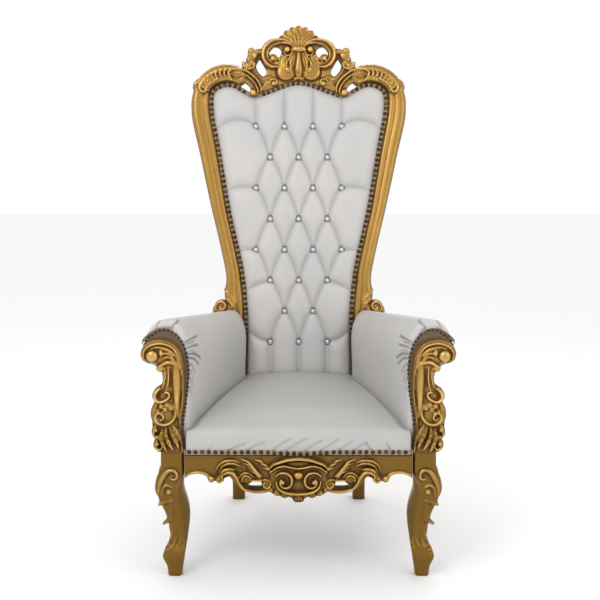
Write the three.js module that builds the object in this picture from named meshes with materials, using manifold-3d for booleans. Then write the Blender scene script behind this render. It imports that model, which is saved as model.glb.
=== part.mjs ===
// A high-backed carved throne: antique-gold frame, white tufted upholstery, nail-head trim, crystal buttons.
// Millimetres, +Z up. The throne faces -Y, X runs across it, and its feet stand on Z = 0.
import * as THREE from "three";
import { mergeVertices } from "three/addons/utils/BufferGeometryUtils.js";
import Module from "manifold-3d";

const wasm = await Module();
wasm.setup();

// ---- driving dimensions ----
const GAP = 0.4; // between neighbouring pieces
const CENTRE_SHIFT = -9.5; // brings the middle of the depth onto Y = 0
const LEAN = THREE.MathUtils.degToRad(7); // rake of the back
const BACK_FOOT = { y: 235, z: 420 }; // where the back's own plane starts, above the seat frame
const SIDES = [
  ["left", 1],
  ["right", -1],
]; // pieces are drawn on the -X side and mirrored for the other

const FRAME_REAR = -50; // rear of the back frame, measured forward from the nail line's plane
const CREST_REAR = -26;
const CREST_RELIEF = -8; // how deep the carving's bands start inside the crest's ground
const STILE_FOOT = -40; // lower end of the stiles, on top of the back legs
const JOINT = 1000; // height up the back where the crest rail meets the stiles
const CREST_TOP = 1238;

const RAIL = { top: 372, bottom: 318, face: -375, thick: 30, half: 329 };
const SEAT = { frontHalf: 323, rearHalf: 180, frontY: -372, rearY: 204, bottom: 374 };
const SEAT_TOP = { front: 455, middle: 478, rear: 474, crown: 16 };
const ARM = { frontY: -345, top: 766, rearTop: 696, bottom: 384 };
const FACING = 4; // thickness of the panel between arm pad and carved post
const POST_BACK = ARM.frontY - FACING - 2 * GAP;
const LEG_TOP = 383;
const FOOT = { x: 362, y: -335, depthRatio: 0.9 };
const TRIM = { width: 15, front: 2.5, back: -2.2 };
const PAD = { rear: -42, rearTop: 998, border: -3, low: 40, button: 12, puff: 22, plain: 30 };
const TUFT = { top: 896, rise: 103.9, across: 48.25, rows: 8 };

// ---- materials ----
function finish(color, roughness, metalness) {
  return new THREE.MeshStandardMaterial({ color, roughness, metalness });
}
const gold = finish(0xb08848, 0.38, 0.85);
const leather = finish(0xd3d0cb, 0.55, 0);
const braid = finish(0x8c7c68, 0.6, 0.4);
const backing = finish(0xb9b6b0, 0.85, 0);
const crystal = finish(0xe6ecf0, 0.08, 0.1);

// ---- solids ----
function reversed(geometry) {
  const index = geometry.index.array;
  for (let i = 0; i < index.length; i += 3) {
    const first = index[i];
    index[i] = index[i + 1];
    index[i + 1] = first;
  }
  return geometry;
}

function toSolid(geometry) {
  const bare = geometry.clone();
  bare.deleteAttribute("normal");
  bare.deleteAttribute("uv");
  const merged = mergeVertices(bare, 1e-3);
  const build = () =>
    new wasm.Manifold(
      new wasm.Mesh({
        numProp: 3,
        vertProperties: merged.attributes.position.array,
        triVerts: new Uint32Array(merged.index.array),
      }),
    );
  const made = build();
  if (made.volume() >= 0) return made;
  reversed(merged);
  return build();
}

function toGeometry(solid) {
  const mesh = solid.getMesh();
  const geometry = new THREE.BufferGeometry();
  geometry.setAttribute("position", new THREE.BufferAttribute(new Float32Array(mesh.vertProperties), 3));
  geometry.setIndex(new THREE.BufferAttribute(new Uint32Array(mesh.triVerts), 1));
  return geometry;
}

// Joins overlapping closed forms into one skin.
function joined(geometries) {
  const solids = geometries.map(toSolid);
  return toGeometry(wasm.Manifold.union(solids));
}

const without = (geometry, cutter) => toGeometry(toSolid(geometry).subtract(toSolid(cutter)));

function mirrored(geometry) {
  const copy = geometry.clone();
  copy.scale(-1, 1, 1);
  return toGeometry(toSolid(copy));
}

const withMirror = (geometries) => [...geometries, ...geometries.map((g) => g.clone().scale(-1, 1, 1))];
const mirroredPoints = (points) => points.map(([x, y]) => [-x, y]);

// A closed skin over rings of equal length, with a fan over each end; `apex` is the middle of the last one.
// Each quad of a creased skin is split along its deeper diagonal, so that a crease runs unbroken.
function loft(rings, { creased = false, apex = null } = {}) {
  const count = rings[0].length;
  const middle = (ring) => [0, 1, 2].map((k) => ring.reduce((sum, p) => sum + p[k], 0) / count);
  const points = [...rings.flat(), middle(rings[0]), apex ?? middle(rings.at(-1))];
  const faces = [];
  for (let r = 0; r + 1 < rings.length; r++) {
    for (let i = 0; i < count; i++) {
      const a = r * count + i;
      const b = r * count + ((i + 1) % count);
      const deeper = points[b][1] + points[a + count][1] > points[a][1] + points[b + count][1];
      if (creased && deeper) faces.push(a, b, a + count, b, b + count, a + count);
      else faces.push(a, b, b + count, a, b + count, a + count);
    }
  }
  const start = rings.length * count;
  const last = (rings.length - 1) * count;
  for (let i = 0; i < count; i++) {
    const next = (i + 1) % count;
    faces.push(start, next, i);
    faces.push(start + 1, last + i, last + next);
  }
  const geometry = new THREE.BufferGeometry();
  geometry.setAttribute("position", new THREE.BufferAttribute(new Float32Array(points.flat()), 3));
  geometry.setIndex(faces);
  return geometry;
}

const lerp = THREE.MathUtils.lerp;

// The value of a chain of numbers at t from 0 to 1.
function along(values, t) {
  const place = THREE.MathUtils.clamp(t, 0, 1) * (values.length - 1);
  const i = Math.min(Math.floor(place), values.length - 2);
  return lerp(values[i], values[i + 1], place - i);
}

// The value at `key` of a table of [key, value] rows in rising order.
function lookup(rows, key) {
  const i = Math.max(0, Math.min(rows.length - 2, rows.findIndex((row) => row[0] > key) - 1));
  const at = rows.at(-1)[0] <= key ? rows.length - 2 : i;
  const [a, b] = [rows[at], rows[at + 1]];
  return lerp(a[1], b[1], THREE.MathUtils.clamp((key - a[0]) / (b[0] - a[0]), 0, 1));
}

function curve(points, steps) {
  const spline = new THREE.SplineCurve(points.map(([x, y]) => new THREE.Vector2(x, y)));
  return spline.getPoints(steps).map((p) => [p.x, p.y]);
}

// A path round [x, y] whose radius changes evenly between two angles in degrees.
function spiral(x, y, radii, angles, steps) {
  return Array.from({ length: steps + 1 }, (_, i) => {
    const t = i / steps;
    const angle = THREE.MathUtils.degToRad(lerp(angles[0], angles[1], t));
    const radius = along(radii, t);
    return [x + radius * Math.cos(angle), y + radius * Math.sin(angle)];
  });
}

// A carved band along a path in the carving's plane, with chamfered flanks.
// It stands from `back` to `front`, both measured forward.
function band(path, halves, front, back) {
  const rings = path.map(([x, y], i) => {
    const before = path[Math.max(0, i - 1)];
    const after = path[Math.min(path.length - 1, i + 1)];
    const length = Math.hypot(after[0] - before[0], after[1] - before[1]);
    const across = [-(after[1] - before[1]) / length, (after[0] - before[0]) / length];
    const t = i / (path.length - 1);
    const half = along(halves, t);
    const face = typeof front === "number" ? front : along(front, t);
    const point = (side, forward) => [x + across[0] * side * half, -forward, y + across[1] * side * half];
    return [point(-1, back), point(-0.6, face), point(0.6, face), point(1, back)];
  });
  return loft(rings);
}

// A round boss with a domed front.
function boss(x, y, radius, front, back, sides = 6, tall = 1) {
  const ring = (share, forward) =>
    Array.from({ length: sides }, (_, i) => {
      const angle = (2 * Math.PI * (i + 0.5)) / sides;
      return [x + radius * share * Math.cos(angle), -forward, y + radius * tall * share * Math.sin(angle)];
    });
  const dome = Math.min(radius * 0.45, front - back);
  return loft([ring(1, back), ring(0.9, front - dome)], { apex: [x, -front, y] });
}

// Section of the stile's moulding: share of the width from the outer edge, and height forward.
const STILE_SECTION = [
  [0, FRAME_REAR],
  [0, -10],
  [0.08, 4],
  [0.24, 11],
  [0.6, 2],
  [0.68, -3],
  [0.77, 5],
  [0.92, 5],
  [1, -2],
  [1, FRAME_REAR],
];

// The same moulding where leaves cover it.
const SHOULDER_SECTION = [
  [0, FRAME_REAR],
  [0, -10],
  [0.2, 9],
  [0.8, 4],
  [1, -2],
  [1, FRAME_REAR],
];

// A moulding between matched outer and inner edge points.
function moulding(edges, section) {
  return loft(
    edges.map(([outer, inner]) =>
      section.map(([share, forward]) => [
        lerp(outer[0], inner[0], share),
        -forward,
        lerp(outer[1], inner[1], share),
      ]),
    ),
  );
}

function plate(outline, front, back, holes = []) {
  const turned = (points, clockwise) => {
    const vectors = points.map(([x, y]) => new THREE.Vector2(x, y));
    return THREE.ShapeUtils.isClockWise(vectors) === clockwise ? vectors : vectors.reverse();
  };
  const shape = new THREE.Shape(turned(outline, false));
  shape.holes = holes.map((hole) => new THREE.Path(turned(hole, true)));
  const geometry = new THREE.ExtrudeGeometry(shape, { depth: front - back, bevelEnabled: false });
  geometry.rotateX(Math.PI / 2); // the outline's y becomes Z and the depth runs forward, to -Y
  geometry.translate(0, -back, 0);
  return geometry;
}

// ---- the back's outline ----
// Middle of the row of nails, from beside the arm up and over to the centre of the crest.
const NAIL_LINE = [
  [-179, 200],
  [-179, 272],
  [-193, 411],
  [-237, 615],
  [-271, 818],
  [-290, 920],
  [-295, 975],
  [-292, 1008],
  [-280, 1023],
  [-262, 1033],
  [-240, 1037],
  [-215, 1032],
  [-178, 1012],
  [-157, 1002],
  [-135, 1002],
  [-83, 1020],
  [-42, 1036],
  [0, 1043],
];
const STILE_OUTER = [
  [STILE_FOOT, 246],
  [272, 249],
  [330, 253],
  [370, 247],
  [411, 250],
  [513, 271],
  [615, 295],
  [716, 317],
  [818, 338],
  [920, 361],
  [975, 365],
  [JOINT, 362],
];
const EDGE_TO_NAILS = 7.5;
const STILE_INNER = NAIL_LINE.slice(1, 7).map(([x, v]) => [v, -x + EDGE_TO_NAILS]);
STILE_INNER.unshift([STILE_FOOT, 186.5]);
STILE_INNER.push([JOINT, 302]);

// The nail line moved outward, away from the upholstery, over both halves of the back.
function opening(outward) {
  const half = NAIL_LINE.map(([x, v], i) => {
    const a = NAIL_LINE[Math.max(0, i - 1)];
    const b = NAIL_LINE[Math.min(NAIL_LINE.length - 1, i + 1)];
    const length = Math.hypot(b[0] - a[0], b[1] - a[1]);
    return [x - (outward * (b[1] - a[1])) / length, v + (outward * (b[0] - a[0])) / length];
  });
  const last = half.length - 1;
  half[last] = [0, NAIL_LINE[last][1] + outward];
  return [...half, ...half.slice(0, -1).reverse().map(([x, v]) => [-x, v])];
}

function stile() {
  const steps = STILE_OUTER.map(([v]) => Math.min(v, JOINT - GAP));
  const edges = steps.map((v) => [
    [-lookup(STILE_OUTER, v), v],
    [-lookup(STILE_INNER, v), v],
  ]);
  const ear = boss(-262, 285, 26, 16, FRAME_REAR + 14, 10);
  const earScroll = band(spiral(-262, 285, [19, 9], [200, -160], 7), [4, 5, 3], 21, 0);
  return joined([moulding(edges, STILE_SECTION), ear, earScroll]);
}

// ---- crest rail ----
const SHOULDER = [
  [[-362, JOINT], [-302, JOINT]],
  [[-355, 1027], [-298, 1016]],
  [[-341, 1056], [-287, 1031]],
  [[-318, 1081], [-270, 1041]],
  [[-290, 1098], [-254, 1045]],
  [[-260, 1107], [-238, 1046]],
  [[-230, 1108], [-222, 1043]],
  [[-206, 1102], [-210, 1040]],
];

// Ground that the carving stands on: its upper edge from the shoulder to the tip, and what pierces it.
const CREST_GROUND = [
  [-222, 1098],
  [-194, 1094],
  [-164, 1092],
  [-163, 1118],
  [-152, 1142],
  [-134, 1158],
  [-124, 1158],
  [-116, 1178],
  [-98, 1192],
  [-60, 1196],
  [-42, 1209],
  [-20, 1220],
  [0, 1228],
];
const CREST_FOOT = [
  [0, 1045],
  [-90, 1020],
  [-150, 1004],
  [-180, 1022],
  [-222, 1042],
];
const RING_HOLE = spiral(-79, 1144, [20, 23, 20], [0, 315], 7);
const TEARDROP = [
  [-133, 1124],
  [-146, 1098],
  [-138, 1074],
  [-120, 1066],
  [-109, 1080],
  [-119, 1104],
];
const CRESCENT = [
  [-206, 1054],
  [-184, 1057],
  [-166, 1042],
  [-168, 1030],
  [-186, 1041],
];

function crestGround() {
  const outline = [...CREST_FOOT, ...CREST_GROUND];
  outline.push(...mirroredPoints([...CREST_FOOT.slice(1), ...CREST_GROUND.slice(0, -1)]).reverse());
  const holes = [RING_HOLE, TEARDROP, CRESCENT];
  return plate(outline, -2, CREST_REAR, [...holes, ...holes.map(mirroredPoints)]);
}

function shoulderLeaves() {
  const tips = [
    [[-351, 1032], [-326, 1052], [-302, 1056]],
    [[-332, 1066], [-306, 1070], [-284, 1062]],
    [[-302, 1092], [-280, 1086], [-258, 1064]],
    [[-262, 1104], [-246, 1092], [-236, 1064]],
  ];
  return tips.map((tip) => band(curve(tip, 3), [5, 10, 10, 5], [9, 15, 11], -6));
}

// The shell fan: ribs round one root, each with a rounded tip.
function shellFan() {
  const root = [0, 1160];
  const reach = CREST_TOP - root[1];
  return [-55, -37, -18.5, 0, 18.5, 37, 55].map((turn) => {
    const angle = THREE.MathUtils.degToRad(90 - turn);
    const tip = reach - Math.abs(turn) * 0.09;
    const path = [0.15, 0.72, 0.92, 1].map((share) => [
      root[0] + Math.cos(angle) * tip * share,
      root[1] + Math.sin(angle) * tip * share,
    ]);
    return band(path, [5, 10, 10.5, 6], [14, 13, 19, 12], CREST_REAR + 6);
  });
}

function crestHalf() {
  const root = CREST_RELIEF;
  const sweep = (points, steps, halves, front = 12) => band(curve(points, steps), halves, front, root);
  const knob = (x, y, radius, front, sides) => boss(x, y, radius, front, root, sides);
  return [
    ...shoulderLeaves(),
    // arch strip over the nails, and the hollow acanthus scroll that curls down to a ball
    sweep([[-222, 1047], [-195, 1041], [-175, 1026], [-156, 1012]], 4, [6, 6, 6, 6], 5),
    sweep(
      [[-226, 1082], [-200, 1086], [-170, 1070], [-147, 1043], [-140, 1012]],
      6,
      [13, 18, 19, 17, 13],
      14,
    ),
    knob(-156, 1014, 13, 18),
    // board above the nails, with its small volute
    sweep([[-140, 1020], [-110, 1028], [-80, 1042], [-40, 1058], [0, 1063]], 4, [13, 15, 17, 17, 17], 5),
    knob(-83, 1052, 15, 14),
    // the large C-scroll, from its volute beside the shell round to the ball at its tail
    sweep(
      [[-52, 1149], [-42, 1138], [-28, 1143], [-21, 1160], [-32, 1178], [-52, 1187], [-77, 1187],
        [-101, 1175], [-115, 1150], [-111, 1122], [-96, 1106], [-76, 1106]],
      13,
      [3, 6, 8, 10, 13, 15, 16, 15, 14, 12, 9],
      [18, 20, 18, 18, 16, 14],
    ),
    knob(-41, 1157, 13, 22),
    knob(-88, 1128, 10, 16),
    // flower and stem between the C-scroll and the shoulder
    sweep([[-136, 1150], [-154, 1128], [-158, 1096], [-145, 1068], [-120, 1054]], 6, [8, 9, 8, 9, 12]),
    knob(-159, 1156, 13, 16),
    knob(-152, 1136, 10, 19),
    knob(-139, 1153, 9, 14),
    knob(-175, 1105, 17, 14),
    // palmette under the shell: two round lobes with curls, and ribs between
    knob(-40, 1093, 35, 11, 8),
    knob(-34, 1098, 11, 19),
    sweep([[-50, 1128], [-64, 1114], [-72, 1094]], 3, [8, 9, 5], 10),
    sweep([[-15, 1150], [-20, 1126], [-19, 1104]], 2, [5, 6, 4], 16),
  ];
}

function crestRail() {
  const knot = [[-22, 1158], [-8, 1158], [8, 1158], [22, 1158]];
  const tongue = [[0, 1148], [0, 1096], [0, 1070]];
  const centre = [
    crestGround(),
    ...shellFan(),
    band(knot, [8, 14, 14, 8], [14, 20, 20, 14], CREST_RELIEF),
    band(tongue, [8, 10, 14], [17, 15, 8], CREST_RELIEF),
  ];
  const shoulderFoot = moulding(SHOULDER.slice(0, 2), STILE_SECTION);
  const shoulder = moulding(SHOULDER.slice(1), SHOULDER_SECTION);
  const halves = withMirror([shoulderFoot, shoulder, ...crestHalf()]);
  const rebate = plate(opening(EDGE_TO_NAILS + GAP), TRIM.front + GAP, FRAME_REAR - GAP);
  return without(joined([...centre, ...halves]), rebate);
}

// ---- upholstered back ----
// Half width of the pad, drawn in round its top corners.
const PAD_SIDE = [...STILE_INNER.slice(0, -2), [975, 300], [1003, 289]];
const CORNER = PAD_SIDE.at(-1);

// Height of the pad's top edge over a place across it.
function padTop(x) {
  const rising = NAIL_LINE.slice(7).map(([across, v]) => [across, v + 1.5]);
  return lookup(rising, -Math.abs(x));
}

// Puffs between buttons: 0 along the pleats of the diamond lattice and 1 in the middle of each diamond.
function puff(x, v) {
  const row = (v - TUFT.top) / TUFT.rise;
  const column = x / TUFT.across;
  const wave = (n) => Math.abs(Math.cos((Math.PI / 2) * n));
  return Math.sqrt(wave(column + row) * wave(column - row));
}

function padFront(x, v, border) {
  const tufted = v < TUFT.top + 1 && Math.abs(x) < 3.01 * TUFT.across;
  const body = tufted ? PAD.button + PAD.puff * puff(x, v) : PAD.plain;
  return lerp(PAD.border, body, THREE.MathUtils.smoothstep(border, 13, 45));
}

// Levels up the pad: one on each row of buttons and one midway, then the border under the arched top.
function padLevels() {
  const levels = [PAD.low];
  const lowest = -2 * (TUFT.rows - 1) - 1;
  for (let half = lowest; half <= 1; half++) levels.push(TUFT.top + (half * TUFT.rise) / 2);
  return levels;
}

// Places across the pad: one on each column of buttons and one midway, then the border at each side.
function padColumns(half) {
  const inner = [];
  for (let step = -6; step <= 6; step++) inner.push((step * TUFT.across) / 2);
  const last = inner.at(-1);
  const outer = [last + (half - last) * 0.45, half - 13, half];
  return [...outer.map((x) => -x).reverse(), ...inner, ...outer];
}

function backPad() {
  const ringAt = (half, heightOf, rearHeight, deep = null) => {
    const front = padColumns(half).map((x) => {
      const v = heightOf(x);
      const border = Math.min(half - Math.abs(x), padTop(x) - v);
      return [x, -(deep ?? padFront(x, v, border)), v];
    });
    const rear = [half, 0, -half].map((x) => [x, -PAD.rear, rearHeight]);
    return [...front, ...rear];
  };
  const rings = padLevels().map((v) => ringAt(lookup(PAD_SIDE, v) - 2, () => v, v));
  rings.push(ringAt(CORNER[1] + 4, (x) => padTop(x) - 32, PAD.rearTop - 30));
  rings.push(ringAt(CORNER[1] + 2, (x) => padTop(x) - 13, PAD.rearTop - 20));
  rings.push(ringAt(CORNER[1], padTop, PAD.rearTop - 10));
  rings.push(ringAt(CORNER[1], () => PAD.rearTop, PAD.rearTop, PAD.rear + 2));
  return loft(rings, { creased: true });
}

function backPanel() {
  const outline = opening(EDGE_TO_NAILS + 8).filter(([, v]) => v > 272);
  outline.unshift([-194, -30]);
  outline.push([194, -30]);
  return plate(outline, FRAME_REAR - GAP, FRAME_REAR - 5);
}

function backTrim() {
  const right = NAIL_LINE.slice(0, -1).reverse().map(([x, v]) => [-x, v]);
  const path = [...NAIL_LINE, ...right];
  const flat = [[-1, 0], [-1, 0.5], [0, 1], [1, 0.5], [1, 0]];
  const tall = TRIM.front - TRIM.back;
  const rings = path.map(([x, v], i) => {
    const a = path[Math.max(0, i - 1)];
    const b = path[Math.min(path.length - 1, i + 1)];
    const length = Math.hypot(b[0] - a[0], b[1] - a[1]);
    return flat.map(([side, share]) => {
      const out = (side * (TRIM.width / 2 - 1)) / length;
      return [x - (b[1] - a[1]) * out, -(TRIM.back + share * tall), v + (b[0] - a[0]) * out];
    });
  });
  return loft(rings);
}

const buttonPlaces = () => {
  const places = [];
  for (let row = 1; row <= TUFT.rows; row++) {
    const v = TUFT.top - TUFT.rise * (row - 1);
    const steps = row === 7 ? [-1, 1] : row % 2 ? [-3, -1, 1, 3] : [-2, 0, 2];
    steps.forEach((step, i) => places.push({ name: `button_${row}_${i + 1}`, x: step * TUFT.across, v }));
  }
  return places;
};

function button() {
  const profile = [[0, 0], [11, 7.6], [6, 13], [0, 13]]; // its point sinks between the puffs
  const geometry = new THREE.LatheGeometry(profile.map(([r, y]) => new THREE.Vector2(r, y)), 6);
  return geometry.rotateX(Math.PI); // the face looks forward, to -Y
}

// ---- seat frame and legs ----
const LEG_OUTLINE = [
  // height, outer edge, inner edge
  [0, 380, 342],
  [28, 384, 338],
  [45, 393, 337],
  [62, 398, 335],
  [80, 393, 332],
  [100, 381, 329],
  [120, 375, 326],
  [150, 379, 322],
  [185, 386, 320],
  [215, 397, 323],
  [242, 406, 329],
  [270, 412, 335],
  [300, 408, 334],
  [325, 400, 330.6],
  [LEG_TOP, 398, 330.6],
];

function frontLeg() {
  const rings = LEG_OUTLINE.map(([z, outer, inner]) => {
    const front = FOOT.y - (outer - FOOT.x) * FOOT.depthRatio;
    const rear = FOOT.y + (FOOT.x - inner) * FOOT.depthRatio;
    const cut = 0.22 * (outer - inner);
    return [
      [-inner, rear, z],
      [-outer, rear, z],
      [-outer, front + cut, z],
      [-outer + cut, front, z],
      [-inner - cut * 0.4, front, z],
      [-inner, front + cut * 0.4, z],
    ];
  });
  const face = -RAIL.face;
  const relief = (points, steps, halves, front, root) => band(curve(points, steps), halves, front, root);
  const kneeScroll = [[-398, 292], [-388, 318], [-370, 326], [-358, 314], [-363, 300]];
  return joined([
    loft(rings),
    relief(kneeScroll, 5, [4, 8, 7, 4], face + 10, face - 20),
    boss(-379, 262, 11, face + 10, face - 20),
    relief([[-384, 244], [-396, 234], [-408, 222]], 2, [6, 9, 3], face - 4, face - 30),
    relief([[-376, 176], [-388, 166], [-400, 162]], 2, [8, 7, 2], face - 18, face - 40),
    relief([[-392, 92], [-376, 80], [-356, 84], [-342, 96]], 4, [4, 8, 8, 4], face - 8, face - 30),
  ]);
}

function backLeg() {
  const stations = [
    // height, middle of the depth, half depth, outer edge, inner edge
    [0, 352, 21, 235, 192],
    [60, 338, 22, 234, 191],
    [140, 312, 25, 236, 190],
    [230, 285, 28, 241, 189],
    [318, 265, 30, 245, 187],
    [372, 256, 30, 246, 186.5],
  ];
  const round = 6;
  return loft(
    stations.map(([z, y, deep, outer, inner]) => [
      [-inner, y + deep, z],
      [-outer, y + deep, z],
      [-outer, y - deep + round, z],
      [-outer + round, y - deep, z],
      [-inner - round, y - deep, z],
      [-inner, y - deep + round, z],
    ]),
  );
}

function prism(corners, bottom, top) {
  return loft([corners.map(([x, y]) => [x, y, bottom]), corners.map(([x, y]) => [x, y, top])]);
}

const sideRail = () =>
  prism([[-398, -303], [-250, 217], [-218, 217], [-366, -303]], RAIL.bottom, LEG_TOP);

const backRail = () => prism([[-186, 240], [186, 240], [186, 278], [-186, 278]], RAIL.bottom, RAIL.top);

// ---- front rail ----
// Lower edge of the board from the leg to the middle, and the piercing in the link beside the cartouche.
const RAIL_EDGE = [
  [-RAIL.half, 308],
  [-312, 319],
  [-290, 322],
  [-266, 317],
  [-254, 304],
  [-222, 302],
  [-206, 314],
  [-184, 304],
  [-166, 280],
  [-148, 268],
  [-112, 263],
  [-88, 268],
  [-70, 256],
  [-40, 248],
  [0, 243],
];
const LINK_HOLE = [
  [-147, 281],
  [-140, 276],
  [-106, 276],
  [-103, 282],
  [-106, 296],
  [-142, 296],
];

function railGround() {
  const right = mirroredPoints(RAIL_EDGE.slice(0, -1)).reverse();
  const outline = [[-RAIL.half, RAIL.top], ...RAIL_EDGE, ...right, [RAIL.half, RAIL.top]];
  const holes = [LINK_HOLE, mirroredPoints(LINK_HOLE)];
  return plate(outline, -RAIL.face, -RAIL.face - RAIL.thick, holes);
}

function railCarving() {
  const face = -RAIL.face;
  const root = face - 6;
  const sweep = (points, steps, halves, front) => band(curve(points, steps), halves, face + front, root);
  const knob = (x, y, radius, front, sides = 6) => boss(x, y, radius, face + front, root, sides);
  return [
    // rolled lower lip, with its two balls
    sweep([[-325, 313], [-290, 326], [-256, 310]], 4, [4, 5, 6], 7),
    knob(-251, 304, 11, 12),
    knob(-228, 304, 13, 14),
    // ridges of the S-scroll, running down into the link
    sweep([[-242, 322], [-230, 342], [-206, 354], [-182, 353], [-164, 340]], 5, [4, 6, 6, 5, 3], 10),
    sweep(
      [[-229, 316], [-212, 331], [-192, 331], [-176, 316], [-166, 294], [-152, 275]],
      6,
      [6, 9, 9, 8, 6],
      13,
    ),
    // leaf and its fronds
    knob(-150, 308, 22, 11),
    sweep([[-168, 358], [-142, 348], [-122, 328], [-106, 308]], 3, [3, 8, 8, 4], 14),
    sweep([[-140, 364], [-116, 354], [-100, 336], [-90, 318]], 3, [3, 8, 8, 4], 10),
    // link to the cartouche
    sweep([[-152, 275], [-128, 268], [-92, 272]], 3, [7, 6, 7], 6),
    knob(-93, 291, 14, 12),
    // half of the cartouche: volute, brow, lower rim and scalloped foot
    band(spiral(-42, 299, [26, 21, 9], [70, 430], 8), [5, 6, 6, 3], face + 20, root + 4),
    sweep([[-84, 326], [-58, 343], [0, 339]], 4, [5, 6, 6], 16),
    sweep([[-70, 300], [-60, 279], [-38, 266], [0, 261]], 4, [6, 7, 6, 6], 17),
    sweep([[-86, 276], [-62, 262], [-32, 253], [0, 249]], 4, [8, 10, 10, 9], 8),
  ];
}

function frontRail() {
  const face = -RAIL.face;
  const root = face - 6;
  const cap = curve([[-82, 340], [-56, 355], [0, 364], [56, 355], [82, 340]], 8);
  const centre = [
    railGround(),
    boss(0, 306, 80, face + 6, root, 12, 0.6),
    band(cap, [4, 6, 7, 6, 4], face + 18, root),
    boss(0, 316, 13, face + 20, root),
    band([[0, 300], [0, 240]], [6, 12], [face + 13, face + 15], root),
  ];
  return joined([...centre, ...withMirror(railCarving())]);
}

// ---- arm posts and facings ----
const POST_BODY = [
  // height, outer edge, inner edge
  [LEG_TOP + GAP, 404, 330],
  [412, 405, 335],
  [440, 415, 340],
  [480, 418, 342],
  [520, 412, 338],
  [548, 409, 332],
  [570, 396, 330],
  [592, 385, 330],
  [616, 383, 331],
  [646, 392, 335],
];

function armPost() {
  const back = -POST_BACK;
  const face = back + 34;
  const edges = POST_BODY.map(([z, outer, inner]) => [[-outer, z], [-inner, z]]);
  const section = [
    [0, back],
    [0, face - 12],
    [0.16, face - 2],
    [0.5, face],
    [0.86, face - 2],
    [1, face - 14],
    [1, back],
  ];
  const root = face - 10;
  const sweep = (points, steps, halves, front) => band(curve(points, steps), halves, face + front, root);
  const knob = (x, y, radius, front, sides = 6) => boss(x, y, radius, face + front, root, sides);
  const flutes = [-372, -354].map((x) => band([[x - 3, 562], [x + 2, 634]], [4, 6], face + 3, root));
  const leaves = [-402, -380, -356].map((x) =>
    sweep([[-364, 472], [(x - 366) / 2 - 4, 436], [x, 396]], 3, [4, 9, 9, 3], 6),
  );
  return joined([
    moulding(edges, section),
    ...flutes,
    ...leaves,
    // head: volute rim round its eye, fronds and the collar under them
    boss(-392, 676, 50, face + 2, back, 10, 0.66),
    sweep(
      [
        [-337, 644], [-343, 680], [-362, 700], [-396, 706],
        [-428, 693], [-437, 668], [-424, 648], [-402, 650],
      ],
      10,
      [5, 8, 9, 10, 10, 9, 8, 5],
      12,
    ),
    knob(-413, 670, 15, 17),
    knob(-393, 635, 12, 6),
    sweep([[-346, 672], [-366, 688], [-388, 684], [-398, 670]], 4, [3, 6, 7, 4], 11),
    sweep([[-338, 642], [-362, 650], [-388, 644]], 3, [5, 8, 5], 9),
    // S-curl, rosette and C-scroll of the swell
    sweep([[-408, 560], [-404, 542], [-386, 536], [-370, 548], [-378, 558]], 5, [6, 8, 7, 3], 9),
    knob(-377, 519, 13, 9),
    knob(-391, 493, 9, 11),
    sweep(
      [[-399, 508], [-408, 492], [-396, 474], [-374, 470], [-354, 486], [-350, 510]],
      6,
      [4, 8, 8, 6, 3],
      9,
    ),
  ]);
}

// Edge of the facing, from the foot of the post up its inner side and over the head.
const FACING_EDGE = [
  [-325, LEG_TOP + GAP],
  [-330, 440],
  [-328, 480],
  [-316, 560],
  [-312, 620],
  [-316, 660],
  [-326, 692],
  [-345, 722],
  [-375, 738],
  [-405, 732],
  [-434, 710],
  [-446, 684],
  [-436, 660],
  [-410, 648],
  [-380, 622],
  [-380, 590],
  [-404, 550],
  [-408, 480],
  [-406, 440],
  [-396, LEG_TOP + GAP],
];
const armFacing = () => plate(FACING_EDGE, -ARM.frontY + GAP + FACING, -ARM.frontY + GAP);

// ---- upholstery of arms and seat ----
const seatHalf = (y) => lerp(SEAT.frontHalf, SEAT.rearHalf, (y - SEAT.frontY) / (SEAT.rearY - SEAT.frontY));

// Arm section from the inner foot round the roll to the outer foot: share of the width outward,
// then share of the height.
const ARM_SECTION = [
  [0, 0],
  [0, 0.4],
  [-0.03, 0.72],
  [0.0, 0.86],
  [0.1, 0.95],
  [0.3, 0.995],
  [0.5, 1],
  [0.78, 0.97],
  [0.96, 0.88],
  [1, 0.79],
  [0.94, 0.71],
  [0.66, 0.66],
  [0.56, 0.5],
  [0.6, 0],
];

function armPad() {
  const stations = [
    // share of the length from the front, swell of the section
    [0, 0.93],
    [0.03, 1],
    [0.25, 1],
    [0.5, 1],
    [0.75, 1],
    [1, 0.98],
  ];
  const rearOf = (z) => BACK_FOOT.y + (z - BACK_FOOT.z) * Math.tan(LEAN) - 24;
  const rings = stations.map(([share, swell]) => {
    const top = lerp(ARM.top, ARM.rearTop, share);
    const width = lerp(126, 100, share);
    return ARM_SECTION.map(([outward, up]) => {
      const z = ARM.bottom + (top - ARM.bottom) * (up * (up > 0.3 ? 0.5 + 0.5 * swell : 1));
      const y = lerp(ARM.frontY, rearOf(z), share);
      const middle = 0.4;
      const x = seatHalf(y) + 1 + width * (middle + (outward - middle) * swell);
      return [-x, y, z];
    });
  });
  return loft(rings);
}

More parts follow.
